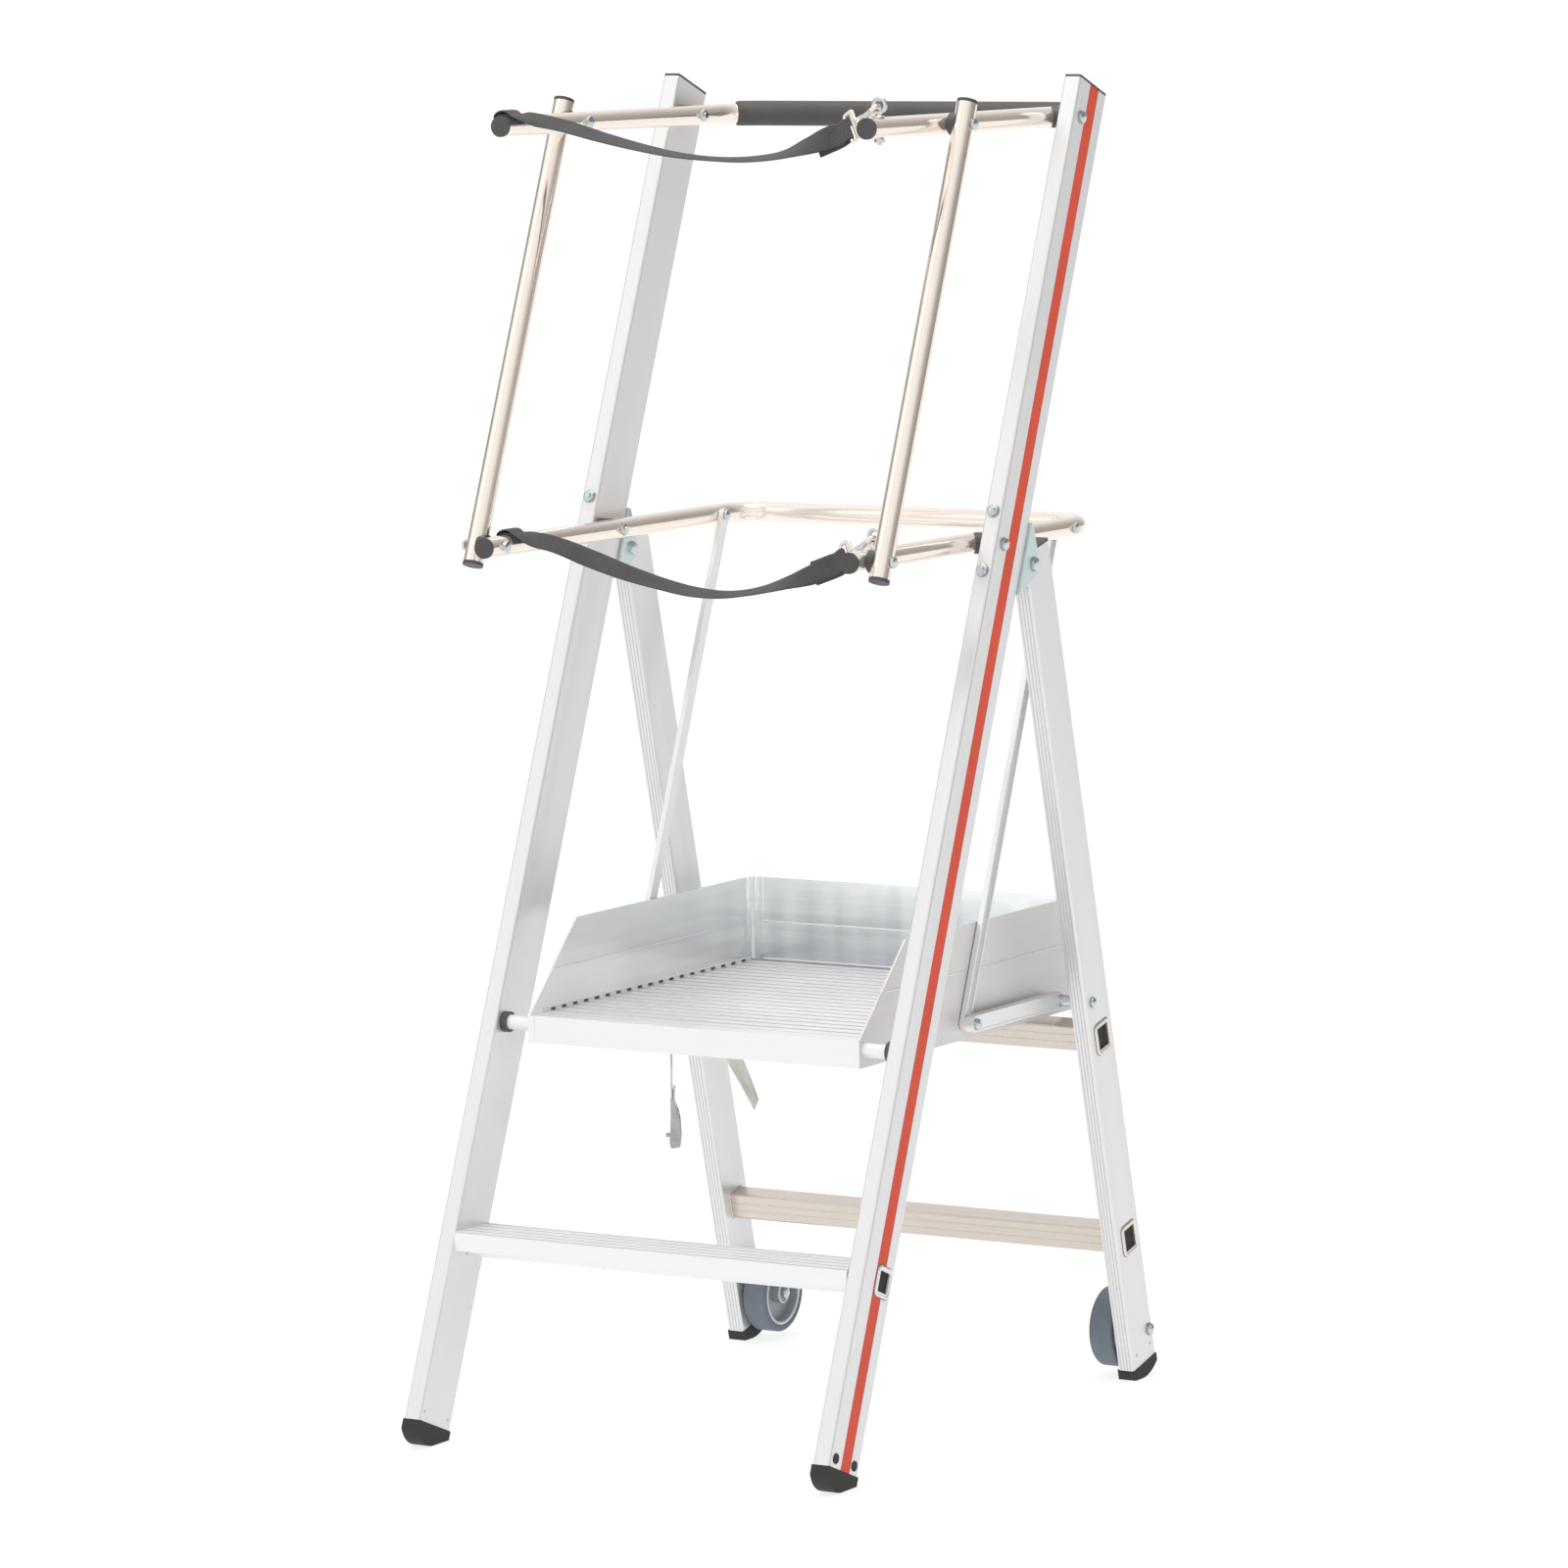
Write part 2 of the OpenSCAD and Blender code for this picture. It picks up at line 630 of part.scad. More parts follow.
module tread() color(bright) centred() {
    along_x(-inner_x, inner_x)
        difference() {
            union() {
                difference() {
                    tread_outline();
                    translate([tread_y + tread_wall, tread_h - tread_t + tread_wall])
                        square([tread_d - 2 * tread_wall, tread_t - 2 * tread_wall - ridge_h]);
                }
                tenon_outline(0);
            }
            tenon_outline(-tread_wall);
        }
    both() {
        along_x(inner_x, outer_x)
            difference() {
                tenon_outline(0);
                tenon_outline(-tread_wall);
            }
        along_x(outer_x, outer_x + flare_t)
            difference() {
                tenon_outline(flare_w);
                tenon_outline(-tread_wall);
            }
    }
}

module tread_end_plugs() color(black) both() centred()
    along_x(outer_x - end_plug_back - end_plug_h, outer_x - end_plug_back)
        tenon_outline(-tread_wall - fit_clear);

module axle_bushes() color(black) both() in_front() translate([0, pivot_inset, axle_l]) difference() {
    union() {
        x_rod(inner_x - bush_t, inner_x, axle_flange_d);
        x_rod(inner_x - bush_t, inner_x + stile_wall, axle_spigot_d);
    }
    x_rod(inner_x - bush_t - cut, inner_x + stile_wall + cut, axle_d + 2 * run_clear);
}

module ear(x0) along_x(x0, x0 + plate_t) difference() {
    union() {
        polygon([[stile_d, hinge_l - bracket_h / 2], [stile_d, hinge_l + bracket_h / 2],
                 [stile_d + plate_t, hinge_l + bracket_h / 2],
                 [hinge_s + ear_r * cos(ear_turn), hinge_l + ear_r * sin(ear_turn)],
                 [hinge_s + ear_r * cos(ear_turn), hinge_l - ear_r * sin(ear_turn)],
                 [stile_d + plate_t, hinge_l - bracket_h / 2]]);
        translate([hinge_s, hinge_l])
            circle(ear_r);
    }
    translate([hinge_s, hinge_l])
        circle(d = hinge_pin_d + 2 * fit_clear);
}

module hinge_bracket() in_front() {
    ear(inner_x - ear_gap - plate_t);
    ear(outer_x + ear_gap);
    difference() {
        translate([inner_x - ear_gap - plate_t, stile_d, hinge_l - bracket_h / 2])
            cube([stile_t + 2 * ear_gap + 2 * plate_t, plate_t, bracket_h]);
        for (side = [-1, 1])
            translate([inner_x + stile_t / 2, stile_d - cut, hinge_l + side * bracket_bolt_l])
                rotate([-90, 0, 0])
                    cylinder(d = bolt_d + 2 * fit_clear, h = plate_t + 2 * cut);
    }
}
module left_hinge_bracket() color(zinc) left() hinge_bracket();
module right_hinge_bracket() color(zinc) hinge_bracket();

module hinge_bolts() color(zinc) both() in_front() {
    for (side = [-1, 1])
        translate([inner_x + stile_t / 2, 0, hinge_l + side * bracket_bolt_l])
            rotate([-90, 0, 0]) {
                cylinder(d = bolt_d, h = stile_d + plate_t + head_h);
                translate([0, 0, -head_h])
                    cylinder(d = hex_af / cos(30), h = head_h, $fn = 6);
                translate([0, 0, stile_d + plate_t])
                    cylinder(d = hex_af / cos(30), h = head_h, $fn = 6);
            }
    translate([0, hinge_s, hinge_l]) {
        x_rod(inner_x - ear_gap - plate_t - head_h, outer_x + ear_gap + plate_t + head_h, hinge_pin_d);
        x_hex(outer_x + ear_gap + plate_t, outer_x + ear_gap + plate_t + head_h);
        x_hex(inner_x - ear_gap - plate_t - head_h, inner_x - ear_gap - plate_t);
    }
}

module rail_pivot_bolts() color(zinc) both() in_front() for (l = [mid_l, top_l])
    translate([0, pivot_inset, l]) {
        x_rod(rail_inner[0] - face_gap - head_h, outer_x + head_h, bolt_d);
        x_hex(outer_x, outer_x + head_h);
        x_hex(rail_inner[0] - face_gap - head_h, rail_inner[0] - face_gap);
    }

module deck() color(bright) centred() {
    first_y = deck_y + channel_d;
    span = platform_d - channel_d - board_t;
    cell = (span - deck_wall) / deck_cells;
    along_x(board_t - board_x, board_x - board_t)
        difference() {
            union() {
                translate([first_y, deck_bottom + deck_wall])
                    square([span, deck_h - deck_wall - rib_h]);
                for (i = [0:deck_ribs - 1])
                    translate([first_y + (i + (1 - rib_share) / 2) * span / deck_ribs,
                               platform_h - 2 * rib_h])
                        square([rib_share * span / deck_ribs, 2 * rib_h]);
            }
            for (i = [0:deck_cells - 1])
                translate([first_y + deck_wall + i * cell, deck_bottom + 2 * deck_wall])
                    square([cell - deck_wall, deck_h - 3 * deck_wall - 2 * rib_h]);
        }
}

module front_channel() color(bright) centred()
    along_x(board_t - board_x, board_x - board_t)
        translate([deck_y, deck_bottom])
            difference() {
                square([channel_d, deck_h]);
                translate([deck_wall, deck_wall])
                    square([channel_d, deck_h - 2 * deck_wall]);
            }

module side_board() centred() difference() {
    along_x(board_x - board_t, board_x)
        polygon([[deck_y, deck_bottom], [deck_y, platform_h], [deck_y + toe_run, platform_h + toe_h],
                 [deck_y + platform_d, platform_h + toe_h], [deck_y + platform_d, deck_bottom]]);
    translate([0, axle_y, axle_z])
        x_rod(board_x - board_t - cut, board_x + cut, axle_d + 2 * fit_clear);
    translate([0, strut_y, axle_z])
        x_rod(board_x - board_t - cut, board_x + cut, pin_d + 2 * fit_clear);
}
module left_toe_board() color(bright) left() side_board();
module right_toe_board() color(bright) side_board();

module rear_toe_board() color(bright) centred()
    translate([board_t - board_x, deck_y + platform_d - board_t, deck_bottom])
        cube([platform_w - 2 * board_t, board_t, deck_h + toe_h]);

module platform_fittings() color(zinc) {
    both()
        centred()
            translate([board_x - board_t, deck_y + platform_d - board_t, platform_h])
                linear_extrude(toe_h)
                    union() {
                        translate([-corner_leg, -corner_t])
                            square([corner_leg, corner_t]);
                        translate([-corner_t, -corner_leg])
                            square([corner_t, corner_leg]);
                    }
    translate([(carry_route[4][0] + carry_route[6][0] - keeper_l) / 2, carry_route[4][1],
               deck_bottom + deck_wall])
        along_x(0, keeper_l)
            difference() {
                translate([-keeper_w / 2 - keeper_t, -keeper_h - keeper_t])
                    square([keeper_w + 2 * keeper_t, keeper_h + keeper_t]);
                translate([-keeper_w / 2, -keeper_h])
                    square([keeper_w, keeper_h + cut]);
            }
}

module axle_tube() color(bright) at_side(axle_y, axle_z) along_x(-inner_x - stile_wall, inner_x + stile_wall)
    ring(axle_d, axle_wall);

module platform_pivot_pins() color(zinc) both() at_side(strut_y, axle_z) {
    x_rod(board_x - board_t, strut_x + strut_t - rail_gap / 2, pin_d);
    x_rod(board_x - board_t - head_h, board_x - board_t, pin_head_d);
}

// Flat channel with round ends, open outward, lying along +Y
module channel_link(len, h, t, bore, open_bore) difference() {
    along_x(0, t)
        union() {
            circle(d = h);
            translate([0, -h / 2])
                square([len, h]);
            translate([len, 0])
                circle(d = h);
        }
    along_x(web_t, t + cut)
        union() {
            circle(d = h - 2 * web_t);
            translate([0, web_t - h / 2])
                square([len, h - 2 * web_t]);
            translate([len, 0])
                circle(d = h - 2 * web_t);
        }
    x_rod(-cut, web_t + cut, open_bore);
    translate([0, len, 0])
        x_rod(-cut, web_t + cut, bore);
}

module strut() at_side(strut_y, axle_z) translate([strut_x, 0, 0]) rotate([90 - front_lean, 0, 0])
    channel_link(strut_len, strut_d, strut_t, bore_d, pin_d + 2 * run_clear);
module left_strut() color(steel_tint) left() strut();
module right_strut() color(steel_tint) strut();

module link() at_side(strut_y, axle_z) {
    translate([link_x, 0, 0])
        channel_link(link_len, link_h, link_t, bore_d, bolt_d + 2 * fit_clear);
    x_rod(link_x, link_x + web_t + head_h, bolt_d);
    x_rod(link_x + web_t, link_x + web_t + head_h, hex_af);
}
module left_link() color(zinc) left() link();
module right_link() color(zinc) link();

module rear_section() difference() {
    hollow(stile_t, rear_d, stile_r, stile_wall);
    for (i = [1:grooves])
        translate([i * stile_t / (grooves + 1) - groove_w / 2, -cut])
            square([groove_w, groove_t + cut]);
}

module rear_stile() in_rear() difference() {
    translate([inner_x, -hinge_inset, rear_low_l])
        linear_extrude(hinge_over - rear_low_l)
            rear_section();
    x_rod(inner_x - cut, outer_x + cut, hinge_pin_d + 2 * run_clear);
    translate([0, link_s, link_l])
        x_rod(inner_x - cut, outer_x + cut, bolt_d + 2 * fit_clear);
    translate([0, wheel_s, wheel_l])
        x_rod(inner_x - cut, outer_x + cut, bolt_d + 2 * fit_clear);
    for (z = [lower_bar_h, upper_bar_h])
        translate([0, bar_s, rear_along(bar_s, z)])
            box_run(inner_x - cut, outer_x + cut, bar_d + 2 * fit_clear, bar_h + 2 * fit_clear,
                    tenon_r + fit_clear);
}
module left_rear_stile() color(bright) left() rear_stile();
module right_rear_stile() color(bright) rear_stile();

module rear_top_caps() color(black) both() in_rear()
    translate([inner_x, -hinge_inset, hinge_over])
        linear_extrude(stile_cap_t)
            rounded(stile_t, rear_d, stile_r);

module rear_foot() {
    centred()
        along_x(inner_x - foot_lip, outer_x + foot_lip)
            intersection() {
                sole(rear_corner_y + heel_back, heel_r, foot_reach + rear_d, false);
                translate([rear_corner_y, rear_base_z])
                    rotate(rear_lean)
                        translate([0, -foot_reach])
                            square([rear_d, foot_reach]);
            }
    in_rear()
        translate([inner_x + stile_wall + fit_clear, stile_wall + fit_clear - hinge_inset, rear_low_l])
            linear_extrude(plug_h)
                rounded(stile_t - 2 * stile_wall - 2 * fit_clear, rear_d - 2 * stile_wall - 2 * fit_clear,
                        inner_r);
}
module left_rear_foot() color(black) left() rear_foot();
module right_rear_foot() color(black) rear_foot();

module rear_bar(z) in_rear() translate([0, bar_s, rear_along(bar_s, z)]) {
    along_x(-outer_x, outer_x)
        translate([-bar_d / 2, -bar_h / 2])
            hollow(bar_d, bar_h, tenon_r, tread_wall);
    both()
        along_x(outer_x, outer_x + flare_t)
            difference() {
                centred_rounded(bar_d + 2 * flare_w, bar_h + 2 * flare_w, tenon_r + flare_w);
                centred_rounded(bar_d - 2 * tread_wall, bar_h - 2 * tread_wall, inner_r);
            }
}
module upper_rear_bar() color(steel_tint) rear_bar(upper_bar_h);
module lower_rear_bar() color(steel_tint) rear_bar(lower_bar_h);

module rear_bar_plugs() color(black) both() in_rear() for (z = [lower_bar_h, upper_bar_h])
    translate([0, bar_s, rear_along(bar_s, z)])
        box_run(outer_x - end_plug_back - end_plug_h, outer_x - end_plug_back,
                bar_d - 2 * tread_wall - 2 * fit_clear, bar_h - 2 * tread_wall - 2 * fit_clear, inner_r);

module link_pivot_bolts() color(zinc) both() in_rear() translate([0, link_s, link_l]) {
    x_rod(link_x, outer_x + head_h, bolt_d);
    x_rod(link_x + web_t + face_gap, inner_x, link_spacer_d);
    x_hex(outer_x, outer_x + head_h);
}

module wheel_axles() color(zinc) both() in_rear() translate([0, wheel_s, wheel_l]) {
    x_rod(wheel_x - face_gap - head_h, outer_x + head_h, bolt_d);
    x_hex(wheel_x - face_gap - head_h, wheel_x - face_gap);
    x_rod(wheel_x + wheel_w + face_gap, inner_x, link_spacer_d);
    x_hex(outer_x, outer_x + head_h);
}

module on_wheel() at_side(wheel_y, wheel_d / 2 + wheel_lift)
    translate([wheel_x + wheel_w / 2, 0, 0])
        rotate([0, 90, 0])
            children();

module tyre() on_wheel() rotate_extrude()
    translate([wheel_d / 2 - tyre_t, -wheel_w / 2]) {
        square([tyre_t - tyre_r, wheel_w]);
        translate([0, tyre_r])
            square([tyre_t, wheel_w - 2 * tyre_r]);
        for (y = [tyre_r, wheel_w - tyre_r])
            translate([tyre_t - tyre_r, y])
                circle(tyre_r);
    }

module hub() on_wheel() rotate_extrude() {
    translate([wheel_d / 2 - tyre_t - rim_t, rim_in - wheel_w / 2])
        square([rim_t - fit_clear, wheel_w - 2 * rim_in]);
    translate([bore_d / 2, -wheel_web_t / 2])
        square([wheel_d / 2 - tyre_t - rim_t / 2 - bore_d / 2, wheel_web_t]);
    translate([bore_d / 2, -wheel_w / 2])
        square([(boss_d - bore_d) / 2, wheel_w]);
}
module left_wheel_tyre() color(grey_tyre) left() tyre();
module right_wheel_tyre() color(grey_tyre) tyre();
module left_wheel_hub() color(grey_hub) left() hub();
module right_wheel_hub() color(grey_hub) hub();

// Rear run of a rail with its two bends, from the rail's pivot
module rail_bow(back, d, wall) {
    both()
        translate([rail_x - bend_r, back - bend_r, 0])
            rotate_extrude(angle = 90)
                translate([bend_r, 0])
                    ring(d, wall);
    translate([0, back, 0])
        along_x(bend_r - rail_x, rail_x - bend_r)
            ring(d, wall);
}

module rail_tube(front, back) {
    both()
        translate([rail_x, -front, 0])
            rotate([-90, 0, 0])
                linear_extrude(front + back - bend_r)
                    ring(tube_d, tube_wall);
    rail_bow(back, tube_d, tube_wall);
}

module eye_bore(y, z) at_side(y, z) translate([rail_x, 0, -tube_d])
    cylinder(d = eye_shank_d + 2 * fit_clear, h = 2 * tube_d);
module rail_bore(y, z, d) at_side(y, z) x_rod(rail_inner[0] - cut, rail_inner[1] + cut, d);

module mid_rail() color(steel_tint) difference() {
    at_side(mid_pivot_y, mid_z)
        rail_tube(mid_front, mid_back);
    both() {
        rail_bore(mid_pivot_y, mid_z, bore_d);
        rail_bore(mid_pivot_y + strut_arm, mid_z, bolt_d + 2 * fit_clear);
        rail_bore(mid_pivot_y - post_reach, mid_z, bolt_d + 2 * fit_clear);
    }
    eye_bore(mid_eye_y, mid_z);
}

module top_rail() color(steel_tint) difference() {
    at_side(top_pivot_y, top_z)
        rail_tube(top_front, top_back);
    both() {
        rail_bore(top_pivot_y, top_z, bore_d);
        rail_bore(top_pivot_y - post_reach, top_z, bolt_d + 2 * fit_clear);
    }
    eye_bore(top_eye_y, top_z);
}

module rail_sleeve() color(black) at_side(top_pivot_y, top_z) difference() {
    rail_bow(top_back, sleeve_d, (sleeve_d - tube_d) / 2 - fit_clear);
    both()
        translate([rail_x - bend_r, top_back - bend_r, -bend_r])
            rotate(-sleeve_bend)
                cube([2 * bend_r, 2 * bend_r, 2 * bend_r]);
}

// Cap on a tube's end, its plate on the far side of the origin
module tube_cap() {
    rotate([180, 0, 0])
        cylinder(d = tube_d, h = tube_cap_t);
    cylinder(d = tube_d - 2 * tube_wall - 2 * fit_clear, h = plug_h);
}

module rail_caps(front_y, pivot_y, z) both() {
    at_side(front_y, z)
        translate([rail_x, 0, 0])
            rotate([-90, 0, 0])
                tube_cap();
    at_side(pivot_y, z)
        difference() {
            x_rod(rail_x + tube_d / 2 - bush_wrap, inner_x - face_gap, bush_d);
            translate([rail_x, -bush_d, 0])
                rotate([-90, 0, 0])
                    cylinder(d = tube_d + 2 * fit_clear, h = 2 * bush_d);
            x_rod(rail_x, inner_x, bore_d);
        }
}
module mid_rail_caps() color(black) rail_caps(mid_front_y, mid_pivot_y, mid_z);
module top_rail_caps() color(black) rail_caps(top_front_y, top_pivot_y, top_z);

module eye_bolt(y, z) at_side(y, z) translate([rail_x, 0, 0]) {
    translate([0, 0, -tube_d / 2 - head_h])
        cylinder(d = eye_shank_d, h = tube_d / 2 + head_h + eye_rise - eye_r);
    translate([0, 0, -tube_d / 2 - head_h])
        cylinder(d = hex_af, h = head_h, $fn = 6);
    translate([0, 0, eye_rise])
        rotate([90, 0, 0])
            rotate_extrude()
                translate([eye_r, 0])
                    circle(d = eye_rod_d);
}

module post_bolt(y, z) at_side(y, z) {
    x_rod(rail_inner[0] - head_h, post_x + tube_d / 2 + face_gap + head_h, bolt_d);
    x_hex(rail_inner[0] - head_h, rail_inner[0]);
    x_hex(post_x + tube_d / 2 + face_gap, post_x + tube_d / 2 + face_gap + head_h);
}

module mid_rail_bolts() color(zinc) {
    eye_bolt(mid_eye_y, mid_z);
    both() {
        post_bolt(mid_pivot_y - post_reach, mid_z);
        at_side(mid_pivot_y + strut_arm, mid_z) {
            x_rod(strut_x - face_gap - head_h, rail_inner[1] + head_h, bolt_d);
            x_rod(strut_x - face_gap - head_h, strut_x - face_gap, hex_af);
            x_hex(rail_inner[1], rail_inner[1] + head_h);
        }
    }
}

module top_rail_bolts() color(zinc) {
    eye_bolt(top_eye_y, top_z);
    both()
        post_bolt(top_pivot_y - post_reach, top_z);
}

module post() at_side(mid_pivot_y - post_reach, mid_z) translate([post_x, 0, 0]) rotate([-front_lean, 0, 0])
    difference() {
        translate([0, 0, -post_under])
            linear_extrude(post_under + post_len + post_over)
                ring(tube_d, tube_wall);
        for (z = [0, post_len])
            translate([0, 0, z])
                x_rod(-tube_d, tube_d, bore_d);
    }
module left_post() color(steel_tint) left() post();
module right_post() color(steel_tint) post();

module post_plastics() at_side(mid_pivot_y - post_reach, mid_z) rotate([-front_lean, 0, 0]) {
    translate([post_x, 0, -post_under])
        difference() {
            tube_cap();
            translate([-tube_d, 0, post_under])
                x_rod(0, 2 * tube_d, bolt_d + hex_af);
        }
    translate([post_x, 0, post_len + post_over])
        rotate([180, 0, 0])
            difference() {
                tube_cap();
                translate([-tube_d, 0, post_over])
                    x_rod(0, 2 * tube_d, bolt_d + hex_af);
            }
    for (z = [0, post_len])
        translate([0, 0, z])
            difference() {
                x_rod(rail_inner[1] + face_gap, post_x - tube_d / 4, spacer_d);
                translate([post_x, 0, -tube_d])
                    cylinder(d = tube_d + 2 * fit_clear, h = 2 * tube_d);
                x_rod(rail_x, post_x, bore_d);
            }
}
module left_post_caps() color(black) left() post_plastics();
module right_post_caps() color(black) post_plastics();

// Hook and gate lie along +X from the middle of the eye that they hold
module on_eye(y, z) at_side(y, z + eye_rise) translate([rail_x, 0, 0]) rotate([0, 180 - hook_slope, 0]) children();

module hook() {
    translate([0, hook_r, 0])
        x_rod(eye_r, eye_r + hook_l + block_l / 2, hook_rod_d);
    translate([eye_r, 0, 0])
        rotate(90)
            rotate_extrude(angle = 180)
                translate([hook_r, 0])
                    circle(d = hook_rod_d);
    translate([0, -hook_r, 0])
        x_rod(eye_r, eye_r + tip_l, hook_rod_d);
    translate([eye_r + hook_l, -hook_r - gate_hub_d / 2, -block_w / 2])
        cube([block_l, 2 * hook_r + gate_hub_d, block_w]);
    for (side = [-1, 1])
        translate([gate_u - gate_hub_d / 2, -hook_r - gate_hub_d / 2,
                   side * (block_w - cheek_t) / 2 - cheek_t / 2])
            cube([gate_hub_d + block_l / 2, gate_hub_d, cheek_t]);
    translate([gate_u, -hook_r, -block_w / 2])
        cylinder(d = gate_pin_d, h = block_w);
    translate([slot_u, slot_bar / 2, 0])
        rotate([90, 0, 0])
            linear_extrude(slot_bar)
                difference() {
                    translate([0, -slot_w / 2 - slot_bar])
                        square([slot_l + 2 * slot_bar, slot_w + 2 * slot_bar]);
                    translate([slot_bar, -slot_w / 2])
                        square([slot_l, slot_w]);
                }
}
module mid_strap_hook() color(zinc) on_eye(mid_eye_y, mid_z) hook();
module top_strap_hook() color(zinc) on_eye(top_eye_y, top_z) hook();

module gate() translate([0, -hook_r, 0]) difference() {
    union() {
        x_rod(gate_tip_u, gate_u, hook_rod_d);
        translate([gate_u, 0, cheek_t + face_gap - block_w / 2])
            cylinder(d = gate_hub_d - face_gap, h = block_w - 2 * cheek_t - 2 * face_gap);
    }
    translate([gate_u, 0, -block_w])
        cylinder(d = gate_pin_d + 2 * run_clear, h = 2 * block_w);
}
module mid_hook_gate() color(zinc) on_eye(mid_eye_y, mid_z) gate();
module top_hook_gate() color(zinc) on_eye(top_eye_y, top_z) gate();

// Closure webbing: folded into a flat loop over the left tube, then along its run to the hook
module closure(run, sides, z) {
    loop = [for (i = [0:len(fold_turn) - 1])
        let (r = tube_d / 2 + fold_rise[i])
        [r * cos(fold_turn[i]) - rail_x, run[0][1], z + r * sin(fold_turn[i])]];
    band(concat(loop, run), concat([for (p = loop) [0, 1, 0]], sides), closure_w);
}
module mid_strap() color(black) closure(mid_run, mid_width, mid_z);
module top_strap() color(black) closure(top_run, top_width, top_z);
module carrying_strap() color(webbing_grey) band(carry_route, carry_width, band_w);

// Buckle hangs from the strap's end, its width along +Y before it is turned
module on_buckle() translate(buckle_p) rotate(buckle_turn) children();

module cam_buckle() color(zinc) on_buckle() {
    difference() {
        translate([-buckle_t, -buckle_w / 2 - buckle_t, -buckle_l])
            cube([buckle_d, buckle_w + 2 * buckle_t, buckle_l]);
        translate([0, -buckle_w / 2, -buckle_l - cut])
            cube([buckle_d, buckle_w, buckle_l + 2 * cut]);
    }
    translate([buckle_d / 2, -buckle_w / 2 - buckle_t, -lever_drop])
        rotate([-90, 0, 0])
            cylinder(d = lever_pin_d, h = buckle_w + 2 * buckle_t);
}

module cam_lever() color(zinc) on_buckle() translate([buckle_d / 2, face_gap - buckle_w / 2, -lever_drop])
    difference() {
        union() {
            rotate([-90, 0, 0])
                cylinder(d = lever_hub_d, h = buckle_w - 2 * face_gap);
            translate([-buckle_t / 2, 0, -lever_l])
                cube([buckle_t, buckle_w - 2 * face_gap, lever_l]);
        }
        translate([0, -cut, 0])
            rotate([-90, 0, 0])
                cylinder(d = lever_pin_d + 2 * run_clear, h = buckle_w + 2 * cut);
    }

left_front_stile();
right_front_stile();
stile_stripes();
front_top_caps();
left_front_foot();
right_front_foot();
tread();
tread_end_plugs();
axle_bushes();
left_hinge_bracket();
right_hinge_bracket();
hinge_bolts();
rail_pivot_bolts();
deck();
front_channel();
left_toe_board();
right_toe_board();
rear_toe_board();
platform_fittings();
axle_tube();
platform_pivot_pins();
left_strut();
right_strut();
left_link();
right_link();
left_rear_stile();
right_rear_stile();
rear_top_caps();
left_rear_foot();
right_rear_foot();
upper_rear_bar();
lower_rear_bar();
rear_bar_plugs();
link_pivot_bolts();
wheel_axles();
left_wheel_tyre();
left_wheel_hub();
right_wheel_tyre();
right_wheel_hub();
mid_rail();
mid_rail_caps();
mid_rail_bolts();
mid_strap();
mid_strap_hook();
mid_hook_gate();
top_rail();
rail_sleeve();
top_rail_caps();
top_rail_bolts();
top_strap();
top_strap_hook();
top_hook_gate();
left_post();
right_post();
left_post_caps();
right_post_caps();
carrying_strap();
cam_buckle();
cam_lever();
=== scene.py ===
"""Podium step: webbing, bolts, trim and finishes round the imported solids."""

import bmesh
import bpy
import numpy as np
from mathutils import Matrix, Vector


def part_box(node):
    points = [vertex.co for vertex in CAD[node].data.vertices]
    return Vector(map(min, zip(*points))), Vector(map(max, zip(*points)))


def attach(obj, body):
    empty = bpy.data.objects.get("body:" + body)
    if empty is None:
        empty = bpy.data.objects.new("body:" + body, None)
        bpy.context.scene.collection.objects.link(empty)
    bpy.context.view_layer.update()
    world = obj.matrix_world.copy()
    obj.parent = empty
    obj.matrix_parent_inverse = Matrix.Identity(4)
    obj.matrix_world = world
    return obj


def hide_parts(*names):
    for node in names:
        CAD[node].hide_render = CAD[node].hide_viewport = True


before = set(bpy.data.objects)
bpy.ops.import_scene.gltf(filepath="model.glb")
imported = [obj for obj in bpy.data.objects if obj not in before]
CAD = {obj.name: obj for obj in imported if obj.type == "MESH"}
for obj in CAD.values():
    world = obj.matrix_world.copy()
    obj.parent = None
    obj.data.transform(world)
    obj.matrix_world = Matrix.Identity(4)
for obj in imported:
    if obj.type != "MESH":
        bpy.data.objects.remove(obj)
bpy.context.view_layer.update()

bl_info = {
    "name": "Podium step",
    "version": (1, 0, 0),
    "blender": (4, 5, 0),
    "location": "3D View > Sidebar > Podium step",
    "description": "Dresses a folding podium step with webbing, bolts, trim and finishes",
    "category": "Object",
}

# Sizes are in millimetres, unless a line says otherwise
MM = 0.001
ACROSS, REARWARD, UP = np.eye(3)
SIDES = (("left", -1.0), ("right", 1.0))
# Leans of the stiles, and the directions square to their faces and along them
FRONT_LEAN, REAR_LEAN = np.radians((21.9, 14.2))
FRONT_BACK = np.array([0.0, np.cos(FRONT_LEAN), -np.sin(FRONT_LEAN)])
FRONT_UP = np.array([0.0, np.sin(FRONT_LEAN), np.cos(FRONT_LEAN)])
REAR_BACK = np.array([0.0, np.cos(REAR_LEAN), np.sin(REAR_LEAN)])
REAR_UP = np.array([0.0, -np.sin(REAR_LEAN), np.cos(REAR_LEAN)])
# Side view: the middle of the part, the front stiles' lower corner and the hinge
MID_Y, FRONT_BASE_Z, HINGE = 418.251, 36.5, (502.248, 1036.54)
# Lanes across the frame
BOARD_X, STRUT_X, LINK_X, RAIL_X, POST_X = 230.0, 231.0, 238.2, 250.5, 279.2
INNER_X, OUTER_X, WHEEL_X = 271.0, 293.0, (234.0, 266.0)
